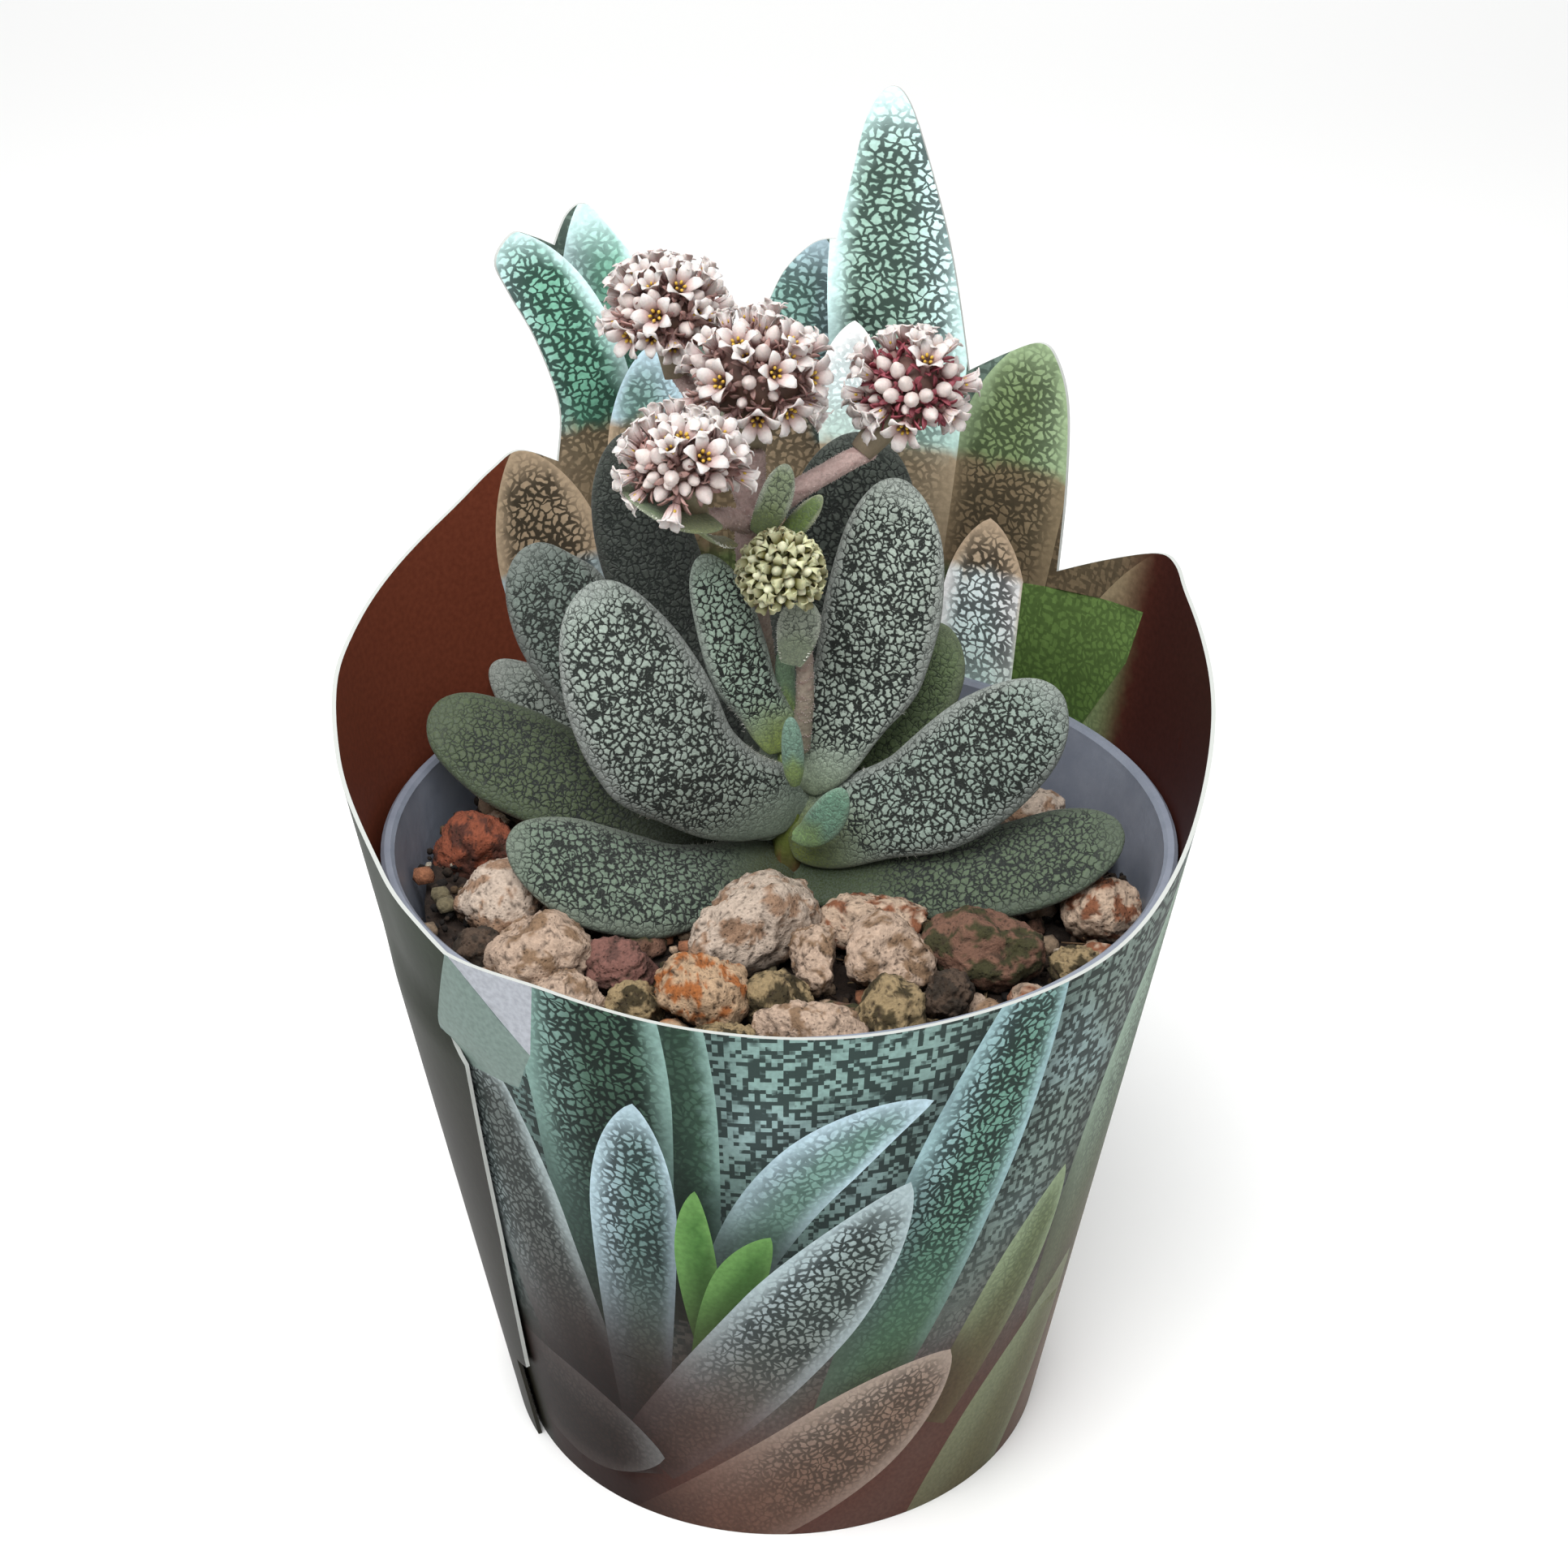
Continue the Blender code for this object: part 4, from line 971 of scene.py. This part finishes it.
def make_sleeve(look, paper):
    """Fill the card's flat outline and the printed leaves' outlines with fine triangles, wrap both faces to
    the cone and wall the cut edge. Sheet tools can't follow a die-cut line and a picture at once, so the mesh
    is made in code."""
    outline = card_outline()
    outer = [PrintedLeaf(*leaf) for leaf in OUTER_LEAVES]
    inner = [PrintedLeaf(*leaf) for leaf in INNER_LEAVES]
    points = [Vector(p) for p in outline]
    edges = [(i, (i + 1) % len(outline)) for i in range(len(outline))]
    patches = [leaf.outline for leaf in outer + inner] + [list(TAB_WHITE), list(TAB_GREY), list(GREEN_PATCH)]
    for ring in patches:
        start = len(points)
        points += [Vector(p) for p in ring]
        edges += [(start + i, start + (i + 1) % len(ring)) for i in range(len(ring))]
    rows = np.arange(0.8, 140, PRINT_PITCH * 0.87)
    grid = [(HIDDEN_END + 1 + (c + 0.5 * (r % 2)) * PRINT_PITCH / MM_PER_DEGREE, z)
            for r, z in enumerate(rows) for c in range(int(380 * MM_PER_DEGREE / PRINT_PITCH))]
    grid = np.array(grid)
    grid = grid[within(grid, outline)]
    grid = grid[reach_to(grid, outline) > 0.6]
    points += [Vector(p) for p in grid]
    flat, _edges, faces, _v, _e, _f = geometry.delaunay_2d_cdt(points, edges, [], 0, 1e-5)
    flat = np.array([tuple(p) for p in flat])
    centres = np.array([flat[list(face)].mean(0) for face in faces])
    keep = within(centres, outline)
    faces = [face for face, kept in zip(faces, keep) if kept]
    centres = centres[keep]
    used = sorted({i for face in faces for i in face})
    renumber = {old: new for new, old in enumerate(used)}
    faces = [tuple(renumber[i] for i in face) for face in faces]
    flat = flat[used]
    count = len(flat)
    solid = np.vstack([card_points(flat, 0), card_points(flat, 1)])
    inner_faces = [tuple(reversed(face)) for face in faces]
    outer_faces = [tuple(i + count for i in face) for face in faces]
    sides = {(a, b) for face in faces for a, b in zip(face, face[1:] + face[:1])}
    walls = [(a, b, b + count, a + count) for a, b in sides if (b, a) not in sides]
    tucked = [min(flat[a][0], flat[b][0]) > 290 and max(flat[a][1], flat[b][1]) < 13 for a, b, _c, _d in walls]
    piece = sheet_piece("printed_sleeve", solid, inner_faces + outer_faces + walls, look)
    piece.data.materials.append(paper)
    index = np.zeros(len(piece.data.polygons), np.int32)
    index[2 * len(faces):] = [not dark for dark in tucked]
    piece.data.polygons.foreach_set("material_index", index)

    # a corner belongs to the printed leaf that covers its triangle's middle
    def owners(leaves):
        owner = np.full(len(centres), -1)
        for k, leaf in enumerate(leaves):
            owner[within(centres, leaf.outline)] = k
        return owner

    sizes = np.array([len(face) for face in faces])
    own_out = np.repeat(owners(outer), sizes)
    own_in = np.repeat(owners(inner), sizes)
    corner_out = np.array([i for face in faces for i in face])
    corner_in = np.array([i for face in inner_faces for i in face])
    out_colour, out_cracks, out_coarse = outer_print(flat[corner_out], own_out, outer)
    grey = np.repeat(within(centres, list(TAB_GREY)), sizes)
    white = np.repeat(within(centres, list(TAB_WHITE)), sizes)
    out_colour[grey] = ink("83968F")
    out_colour[white] = ink("BCC0C8")
    out_cracks[grey | white] = 0.0
    in_colour, in_cracks, in_coarse = inner_print(flat[corner_in], own_in, inner)
    patch = np.repeat(within(centres, list(GREEN_PATCH)), sizes)
    in_colour *= 1.5
    in_colour[patch] = 1.2 * mixed(ink("56703A"), ink("6F8C4E"), step_up(flat[corner_in][patch][:, 1], 72, 88))
    in_cracks[patch] = 0.42
    wall_count = 4 * len(walls)
    colour = np.vstack([in_colour, out_colour, np.tile(ink("3C3A34"), (wall_count, 1))])
    marks = np.zeros((len(colour), 3))
    marks[:, 0] = np.concatenate([in_cracks, out_cracks, np.zeros(wall_count)])
    marks[:, 1] = np.concatenate([in_coarse, out_coarse, np.zeros(wall_count)])
    paint(piece, "picture", np.clip(colour, 0, 1), 1.0, "CORNER")
    paint(piece, "marks", marks, 1.0, "CORNER")
    # the flat coordinates, shifted for each printed leaf so that no two share their scales
    shift_in = np.stack([own_in * 7.3, own_in * 3.1], 1)
    shift_out = np.stack([own_out * 5.9, own_out * 4.7], 1)
    uv = np.vstack([flat[corner_in] * FLAT_SCALE + shift_in, flat[corner_out] * FLAT_SCALE + shift_out + 200,
                    np.zeros((wall_count, 2))])
    layer = piece.data.uv_layers.new(name="flat_mm")
    layer.data.foreach_set("uv", uv.astype(np.float32).ravel())
    piece.data.shade_smooth()
    piece.data.set_sharp_from_angle(angle=math.radians(50))
    hand_over(piece, "card", "card_sleeve")


# ---------------------------------------------------------------- sizes and colours a user may change

class CrassulaSettings(bpy.types.PropertyGroup):
    grain_count: bpy.props.IntProperty(name="Peat crumbs", description="Loose crumbs on the mix", default=2600,
                                       min=0)
    crumb_size: bpy.props.FloatProperty(name="Crumb size", description="Largest peat crumb", default=1.5 * MM,
                                        unit="LENGTH")
    chip_count: bpy.props.IntProperty(name="Grit chips", description="Small stones in the gaps", default=110, min=0)
    hair_length: bpy.props.FloatProperty(name="Hair length", description="Hairs on leaf and bract edges",
                                         default=0.95 * MM, unit="LENGTH")
    lamp_power: bpy.props.FloatProperty(name="Lamp power", description="Power of the large soft lamp",
                                        default=6.6, unit="POWER")
    floor_colour: bpy.props.FloatVectorProperty(name="Floor", description="Colour of the studio floor",
                                                subtype="COLOR", size=3, default=hex_colour("FAFAF9")[:3])
    peat_colour: bpy.props.FloatVectorProperty(name="Peat", description="Main colour of the potting mix",
                                               subtype="COLOR", size=3, default=hex_colour("2B2019")[:3])


class CRASSULA_OT_pot(bpy.types.Operator):
    """Turn the nursery pot with its rim band and drain holes"""

    bl_idname = "crassula.pot"
    bl_label = "Nursery pot"

    def execute(self, context):
        band = POT_HEIGHT - RIM_BAND_HEIGHT
        cone = SLEEVE_FOOT_RADIUS + (SLEEVE_RIM_RADIUS - SLEEVE_FOOT_RADIUS) * band / POT_HEIGHT
        foot = cone - RIM_BAND_CLEARANCE
        wall = foot - RIM_BAND_STEP
        slope = (wall - POT_BASE_RADIUS) / band
        inside = POT_BASE_RADIUS - POT_WALL
        profile = [(0, POT_FLOOR), (inside - 1.5 * MM, POT_FLOOR), (inside - 0.4 * MM, POT_FLOOR + 0.4 * MM),
                   (inside + slope * 3.1 * MM, POT_FLOOR + 1.5 * MM), (wall - POT_WALL, band),
                   (POT_RIM_RADIUS - RIM_LIP - 0.1 * MM, POT_HEIGHT - 1.2 * MM),
                   (POT_RIM_RADIUS - RIM_LIP, POT_HEIGHT - 0.4 * MM),
                   (POT_RIM_RADIUS - RIM_LIP + 0.4 * MM, POT_HEIGHT), (POT_RIM_RADIUS - 0.4 * MM, POT_HEIGHT),
                   (POT_RIM_RADIUS, POT_HEIGHT - 0.4 * MM), (POT_RIM_RADIUS - 0.2 * MM, POT_HEIGHT - 2.0 * MM),
                   (foot, band + 0.4 * MM), (foot - 0.3 * MM, band), (wall, band - 0.2 * MM),
                   (POT_BASE_RADIUS + slope * 1.0 * MM, 1.0 * MM), (POT_BASE_RADIUS - 0.7 * MM, 0), (0, 0)]
        mesh = bpy.data.meshes.new("turned_pot")
        mesh.from_pydata([(r, 0, z) for r, z in profile], [(i, i + 1) for i in range(len(profile) - 1)], [])
        pot = bpy.data.objects.new("turned_pot", mesh)
        context.collection.objects.link(pot)
        only_select(pot)
        bpy.ops.object.mode_set(mode="EDIT")
        bpy.ops.mesh.select_all(action="SELECT")
        bpy.ops.mesh.spin(steps=120, angle=math.tau, center=(0, 0, 0), axis=(0, 0, 1))
        bpy.ops.mesh.select_all(action="SELECT")
        bpy.ops.mesh.remove_doubles(threshold=1e-6)
        bpy.ops.mesh.normals_make_consistent(inside=False)
        bpy.ops.object.mode_set(mode="OBJECT")
        for i in range(DRAIN_HOLES):
            turn = math.tau * (i + 0.43) / DRAIN_HOLES
            place = (DRAIN_CIRCLE_RADIUS * math.cos(turn), DRAIN_CIRCLE_RADIUS * math.sin(turn), POT_FLOOR / 2)
            drill = primitive("cylinder", "drill", vertices=32, radius=DRAIN_HOLE_RADIUS, depth=3 * POT_FLOOR,
                              location=place)
            apply_modifier(pot, "BOOLEAN", operation="DIFFERENCE", solver="EXACT", object=drill)
            bpy.data.objects.remove(drill, do_unlink=True)
        pot.data.materials.clear()
        pot.data.materials.append(moulded_plastic())
        only_select(pot)
        bpy.ops.object.shade_smooth_by_angle(angle=math.radians(35))
        hand_over(pot, "pot", "nursery_pot")
        return {"FINISHED"}


def peat_heap(x, y):
    """How far the mix is heaped up where it meets the wall, most of all on the left."""
    reach = np.hypot(x, y)
    edge = step_up(reach, 0.62 * POT_RIM_RADIUS, 0.90 * POT_RIM_RADIUS)
    return edge * (1.0 + 3.6 * step_up(-x, 0.1 * POT_RIM_RADIUS, 0.8 * POT_RIM_RADIUS)
                   * step_up(y, -0.5 * POT_RIM_RADIUS, 0.0)) * MM


class CRASSULA_OT_mix(bpy.types.Operator):
    """Roughen the potting mix and strew it with peat crumbs, fibres and small grit"""

    bl_idname = "crassula.mix"
    bl_label = "Potting mix"

    def execute(self, context):
        settings = context.scene.crassula
        dice = random.Random(11)
        look = painted_look("moist_peat", 0.92, 1.6, 0.45, 0.35)
        mix = fine_copy("potting_mix", "peat_body", 0)
        only_select(mix)
        bpy.ops.object.mode_set(mode="EDIT")
        bpy.ops.mesh.select_all(action="DESELECT")
        bpy.ops.object.mode_set(mode="OBJECT")
        for face in mix.data.polygons:
            face.select = face.normal.z > 0.8 and face.center.z > MIX_TOP - 2.5 * MM
        bpy.ops.object.mode_set(mode="EDIT")
        bpy.ops.mesh.quads_convert_to_tris()
        bpy.ops.mesh.subdivide(number_cuts=12)
        bpy.ops.object.mode_set(mode="OBJECT")
        points = place_of(mix)
        reach = np.hypot(points[:, 0], points[:, 1])
        inside = (points[:, 2] > MIX_TOP - 1.2 * MM) & (reach < POT_RIM_RADIUS - 4.0 * MM)
        lump = np.zeros(len(points))
        lump[inside] = rough_values(points[inside], 260, octaves=4)
        points[:, 2] += lump * 1.1 * MM - inside * 0.4 * MM
        heap = points[:, 2] > MIX_TOP - 2.5 * MM
        points[:, 2] += peat_heap(points[:, 0], points[:, 1]) * heap
        move_points(mix, points)
        paint(mix, "tint", np.tile(np.array(settings.peat_colour), (len(points), 1)))
        mix.data.materials.append(look)
        hand_over(mix, "mix", "potting_mix")

        crumb = primitive("ico_sphere", "crumb", subdivisions=1, radius=1.0)
        rough = place_of(crumb)
        rough *= np.array([[dice.uniform(0.7, 1.15)] for _ in rough])
        move_points(crumb, rough)
        crumb = plain_pattern(crumb)
        fibre = plain_pattern(primitive("cone", "fibre", vertices=4, radius1=0.11 * MM, radius2=0.06 * MM,
                                        depth=1.0, location=(0, 0, 0.5)))
        codes = ["2B2019", "1B1410", "3B2C20", "16110E", "4A3826", "241B15", "33271D", "5E4A34"]
        loose = Cluster()

        def strewn():
            """A place on the heaped mix, spread evenly over its face."""
            reach = (POT_RIM_RADIUS - 3.6 * MM) * math.sqrt(dice.random())
            turn = dice.uniform(0, math.tau)
            x, y = reach * math.cos(turn), reach * math.sin(turn)
            return x, y, peat_heap(x, y)

        for _ in range(settings.grain_count):
            x, y, heaped = strewn()
            size = settings.crumb_size * dice.random() ** 1.8 * 0.5 + 0.22 * MM
            tint = ink(dice.choice(codes)) if dice.random() > 0.03 else ink("A9A090")
            shape = stretched(size, size * dice.uniform(0.5, 1), size * dice.uniform(0.4, 0.8))
            spin = Euler([dice.uniform(0, 6) for _ in range(3)]).to_matrix().to_4x4()
            loose.place(crumb, shifted(x, y, MIX_TOP - 0.2 * MM + size * 0.3 + heaped) @ spin @ shape, tint)
        for _ in range(FIBRE_COUNT):
            x, y, heaped = strewn()
            tint = ink(dice.choice(["6B5238", "8A6E4C", "3B2A1C", "A58C66"]))
            lean = aim((dice.uniform(-1, 1), dice.uniform(-1, 1), dice.uniform(-0.1, 0.35)))
            size = stretched(1, 1, dice.uniform(1.2, 4.0) * MM)
            loose.place(fibre, shifted(x, y, MIX_TOP + 0.35 * MM + heaped) @ lean @ size, tint)
        for _ in range(SPECK_COUNT):
            x, y, heaped = strewn()
            size = dice.uniform(0.7, 1.7) * MM
            tint = ink(dice.choice(["B59B82", "8F7A64", "A06A4C", "7C7258", "C9B7A2"]))
            shape = stretched(size, size * dice.uniform(0.7, 1), size * dice.uniform(0.6, 0.9))
            loose.place(crumb, shifted(x, y, MIX_TOP + size * 0.6 + heaped) @ shape, tint)
        hand_over(loose.finish("peat_crumbs", look), "mix")
        return {"FINISHED"}


def weather(stone, middle, half, number, growth):
    """Break a stone's round body into soft-edged facets, then roughen it with pits and crevices."""
    dice = random.Random(number)
    reach = (place_of(stone) - middle) / half
    radius = np.linalg.norm(reach, axis=1)
    ways = reach / radius[:, None]
    total = radius ** -18.0
    for _ in range(9):
        facet = np.array(Vector((dice.gauss(0, 1), dice.gauss(0, 1), dice.gauss(0, 1))).normalized())
        total += np.maximum(ways @ facet / dice.uniform(0.58, 0.90), 0) ** 18
    points = middle + ways * half * growth * (total ** (-1 / 18.0))[:, None]
    move_points(stone, points)
    normals = normals_of(stone)
    bulk = rough_values(points, 320, shift=(number, 0, 0))
    rough = rough_values(points, 1100, 0.7)
    crevice = step_up(0.10 - np.abs(bulk), 0.0, 0.09)
    move_points(stone, points + normals * (bulk * 0.10 * half.mean() + rough * 0.30 * MM
                                           - crevice * 0.30 * MM)[:, None])


def stain_stone(stone, kind, number):
    """Paint a stone's own colour, its stains, dark crevices and painted shade low down, where it sits in the soil.
    """
    main, stain, share = STONE_LOOKS[kind]
    points = place_of(stone)
    middle = points.mean(0)
    half = np.ptp(points[:, 2]) / 2
    blot = rough_values(points, 420, 0.8, 4, (0, number * 3.1, 0))
    bulk = rough_values(points, 320, shift=(number, 0, 0))
    colour = mixed(ink(main), ink(stain), step_up(blot, 0.45 - share, 0.62 - share) * 0.95)
    colour = mixed(colour, ink("3B2C1E"), step_up(0.09 - np.abs(bulk), 0.0, 0.09) * 0.85)
    # painted shade: darker towards the stone's bottom, where it sits in the soil
    low = step_up(middle[2] - points[:, 2], -0.1 * half, 0.9 * half)
    paint(stone, "tint", mixed(colour, ink("2A2216"), low * 0.7))


class CRASSULA_OT_gravel(bpy.types.Operator):
    """Weather each stone, stain it, and settle grit in the gaps"""

    bl_idname = "crassula.gravel"
    bl_label = "Gravel"

    def execute(self, context):
        settings = context.scene.crassula
        look = painted_look("pitted_pumice", 0.88, 2.2, 0.26, 0.30, pits=1.9)
        taken = []
        for number, kind in STONE_KINDS.items():
            node = f"stone_{number:02d}"
            stone = fine_copy(node, "pumice_" + node, 3)
            low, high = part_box(node)
            middle, half = middle_and_half(low, high)
            weather(stone, np.array(middle), np.array(half), number, STONE_GROWTH)
            stain_stone(stone, kind, number)
            stone.data.materials.append(look)
            hand_over(stone, "gravel", node)
            taken.append((middle, (half.x + half.y) / 2))
        # small chips settle in the gaps
        dice = random.Random(3)
        chips = 0
        for _ in range(CHIP_TRIES):
            turn, size = dice.uniform(0, math.tau), dice.uniform(0.9, 2.5) * MM
            reach = (POT_RIM_RADIUS - 4.0 * MM - size) * math.sqrt(dice.random())
            x, y = reach * math.cos(turn), reach * math.sin(turn)
            spot = Vector((x, y, MIX_TOP + size * 0.45 + peat_heap(x, y)))
            gaps = [math.hypot(spot.x - other.x, spot.y - other.y) - radius - size for other, radius in taken]
            if chips == settings.chip_count or min(gaps) < -0.75 * MM:
                continue
            chip = primitive("ico_sphere", f"grit_{chips:02d}", subdivisions=3, radius=size)
            shape = np.array([1.0, dice.uniform(0.7, 1.0), dice.uniform(0.6, 0.85)])
            move_points(chip, place_of(chip) * shape + np.array(spot))
            weather(chip, np.array(spot), shape * size, 100 + chips, CHIP_GROWTH)
            stain_stone(chip, dice.choice(("beige", "mossy", "mossy", "stained", "dark", "brown", "amber", "beige")),
                        100 + chips)
            chip.data.materials.append(look)
            only_select(chip)
            bpy.ops.object.shade_smooth()
            hand_over(chip, "gravel")
            taken.append((spot, size))
            chips += 1
        return {"FINISHED"}


class CRASSULA_OT_leaves(bpy.types.Operator):
    """Grow the leaves, bracts and stem, with hairs along the edges"""

    bl_idname = "crassula.leaves"
    bl_label = "Leaves, bracts and stem"

    def execute(self, context):
        settings = context.scene.crassula
        look = leaf_skin()
        hair_spots = []
        for node in LEAF_LOOKS:
            make_leaf(node, look, hair_spots)
        dice = random.Random(5)
        hair = Pattern(primitive("cone", "hair", vertices=3, radius1=0.085 * MM, radius2=0.0, depth=1.0,
                                 location=(0, 0, 0.5)), lambda p: np.tile(ink("FFFFF4") / ALBEDO, (len(p), 1)))
        fringe = Cluster()
        for spot, direction, size in hair_spots:
            lean = Vector(direction) + Vector([dice.uniform(-0.35, 0.35) for _ in range(3)])
            length = settings.hair_length * size * dice.uniform(0.6, 1.2)
            root = shifted(*(Vector(spot) - lean.normalized() * 0.08 * MM))
            fringe.place(hair, root @ aim(lean) @ stretched(1, 1, length), dice.uniform(0.7, 1.0))
        hairs = fringe.finish("leaf_hairs", painted_look("pale_leaf_hair", 0.6, 2.0, 0.1, 0.02))
        hand_over(hairs, "leaf")

        stem = fine_copy("stem", "leafy_stem", 3)
        points = place_of(stem)
        normals = normals_of(stem)
        bump = rough_values(points, 420, 0.9)
        points += normals * (bump * 0.45 * MM)[:, None]
        points[:, :2] += (np.array(STEM_AXIS)[:2] - points[:, :2]) * 0.25
        move_points(stem, points)
        rise = (points[:, 2] - MIX_TOP) / (STEM_TOP - MIX_TOP)
        colour = mixed(ink("4E3F24"), ink("6A7832"), step_up(rise, 0.10, 0.45))
        colour = mixed(colour, ink("8CA060"), step_up(rise, 0.55, 1.0))
        colour = mixed(colour, ink("5E3F24"), step_up(bump, 0.15, 0.5) * step_up(0.55 - rise, 0, 0.3))
        paint(stem, "tint", colour)
        stem.data.materials.append(painted_look("green_stem_bark", 0.6, 1.4, 0.18, 0.12))
        hand_over(stem, "stem", "stem")
        return {"FINISHED"}


class CRASSULA_OT_stalks(bpy.types.Operator):
    """Skin the flower stalks and stud them with fine papillae"""

    bl_idname = "crassula.stalks"
    bl_label = "Flower stalks"

    def execute(self, context):
        look = painted_look("papillose_stalk_skin", 0.7, 2.6, 0.22, 0.16)
        dice = random.Random(8)
        papilla = plain_pattern(primitive("cone", "papilla", vertices=4, radius1=0.10 * MM, radius2=0.03 * MM,
                                          depth=0.26 * MM, location=(0, 0, 0.08 * MM)))
        studs = Cluster()
        for node in ("flower_stalk", "bud_stalk"):
            stalk = fine_copy(node, "skin_" + node, 0)
            apply_modifier(stalk, "REMESH", mode="VOXEL", voxel_size=0.24 * MM)
            apply_modifier(stalk, "SMOOTH", factor=0.6, iterations=8)
            only_select(stalk)
            bpy.ops.object.shade_smooth()
            points = place_of(stalk)
            normals = normals_of(stalk)
            ridge = np.array([noise.noise(Vector((p[0] * 900, p[1] * 900, p[2] * 2600))) for p in points])
            points += normals * (ridge * 0.06 * MM + 0.05 * MM)[:, None]
            move_points(stalk, points)
            rise = step_up(points[:, 2], MIX_TOP + 18 * MM, MIX_TOP + 44 * MM)
            colour = mixed(ink("ADA38F"), ink("C6ABA4"), rise)
            colour = mixed(colour, ink("9C7873"), step_up(ridge, 0.1, 0.5) * 0.5)
            paint(stalk, "tint", colour)
            stalk.data.materials.append(look)
            hand_over(stalk, "stalk", node)
            for k in range(0, len(points), 11 if node == "flower_stalk" else 9):
                lean = Vector(normals[k]) + Vector([dice.uniform(-0.3, 0.3) for _ in range(3)])
                studs.place(papilla, shifted(*points[k]) @ aim(lean), ink("DCC8C2") * dice.uniform(0.75, 1.05))
        hand_over(studs.finish("stalk_papillae", look), "stalk")
        return {"FINISHED"}


class CRASSULA_OT_flowers(bpy.types.Operator):
    """Set the four flower heads and the young bud head"""

    bl_idname = "crassula.flowers"
    bl_label = "Flower heads"

    def execute(self, context):
        look = painted_look("petal_and_sepal_tissue", 0.58, 3.0, 0.10, 0.05, Subsurface_Weight=0.08,
                            Subsurface_Scale=0.001)
        core = bulb_pattern("core", 16, 10, (1, 1, 1), by_height("5E4A34", "7E5C54", -1, 1))
        stalk_points = [vertex.co.copy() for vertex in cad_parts["flower_stalk"].data.vertices]
        plain = flower_patterns(False)
        crimson = flower_patterns(True)
        for k, node in enumerate(OPEN_FLOWERS):
            make_head(node, crimson if node == "flower_head_right" else plain, core, look, random.Random(20 + k),
                      stalk_points)
        make_bud_head(look, random.Random(31))
        return {"FINISHED"}


class CRASSULA_OT_sleeve(bpy.types.Operator):
    """Cut, print and wrap the card sleeve"""

    bl_idname = "crassula.sleeve"
    bl_label = "Printed sleeve"

    def execute(self, context):
        paper = new_material("cut_paper_edge", 0.85, 1.5, "B4B7B3")[0]
        make_sleeve(printed_card(), paper)
        return {"FINISHED"}


class CRASSULA_OT_stage(bpy.types.Operator):
    """Set the floor, the soft lamps and the camera"""

    bl_idname = "crassula.stage"
    bl_label = "Stage"

    def execute(self, context):
        settings = context.scene.crassula
        floor = primitive("plane", "studio_floor", size=6.0, location=(0, 0, -0.05 * MM))
        look, shader, _net = new_material("matt_studio_floor", 0.9)
        shader.inputs["Base Color"].default_value = (*settings.floor_colour, 1)
        floor.data.materials.append(look)
        world = bpy.data.worlds.new("studio")
        world.use_nodes = True
        world.node_tree.nodes["Background"].inputs["Color"].default_value = hex_colour("FDFEFF")
        # the backdrop shows white to the camera but lights the plant more softly
        net = Net(world.node_tree)
        shown = net.span(net.node("LightPath").outputs["Is Camera Ray"], 0.0, 1.0, 0.34, 1.0)
        net.tree.links.new(shown, net.tree.nodes["Background"].inputs["Strength"])
        context.scene.world = world
        for name, place, size, power in (("soft_top", (-0.12, -0.26, 0.66), 0.55, settings.lamp_power),
                                         ("soft_front", (0.25, -0.62, 0.42), 0.5, settings.lamp_power * 0.12),
                                         ("soft_back", (0.0, 1.30, 0.95), 1.6, settings.lamp_power * 1.9)):
            bpy.ops.object.light_add(type="AREA", location=place)
            lamp = context.object
            lamp.name = name
            lamp.data.size = size
            lamp.data.energy = power
            lamp.rotation_euler = (Vector((0, 0, 0.07)) - Vector(place)).to_track_quat("-Z", "Y").to_euler()
        bpy.ops.object.camera_add(location=CAMERA_PLACE, rotation=(CAMERA_TILT, 0, 0))
        camera = context.object
        camera.name = "studio_camera"
        camera.data.sensor_width = CAMERA_SENSOR
        camera.data.lens = CAMERA_LENS
        camera.data.clip_start = 0.01
        context.scene.camera = camera
        context.scene.view_settings.view_transform = "Standard"
        return {"FINISHED"}


class CRASSULA_PT_panel(bpy.types.Panel):
    """The builder's steps and settings in the 3D view's sidebar"""

    bl_idname = "CRASSULA_PT_panel"
    bl_label = "Crassula"
    bl_space_type = "VIEW_3D"
    bl_region_type = "UI"
    bl_category = "Crassula"

    def draw(self, context):
        settings = context.scene.crassula
        for name in CrassulaSettings.__annotations__:
            self.layout.prop(settings, name)
        for step in STEPS:
            self.layout.operator(step.bl_idname)


STEPS = (CRASSULA_OT_stage, CRASSULA_OT_pot, CRASSULA_OT_mix, CRASSULA_OT_gravel, CRASSULA_OT_leaves,
         CRASSULA_OT_stalks, CRASSULA_OT_flowers, CRASSULA_OT_sleeve)
CLASSES = (CrassulaSettings, *STEPS, CRASSULA_PT_panel)


def register():
    for kind in CLASSES:
        bpy.utils.register_class(kind)
    bpy.types.Scene.crassula = bpy.props.PointerProperty(type=CrassulaSettings)


def unregister():
    del bpy.types.Scene.crassula
    for kind in reversed(CLASSES):
        bpy.utils.unregister_class(kind)


def main():
    register()
    bpy.ops.crassula.stage()
    bpy.ops.crassula.pot()
    bpy.ops.crassula.mix()
    bpy.ops.crassula.gravel()
    bpy.ops.crassula.leaves()
    bpy.ops.crassula.stalks()
    bpy.ops.crassula.flowers()
    bpy.ops.crassula.sleeve()
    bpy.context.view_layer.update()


if __name__ == "__main__":
    main()
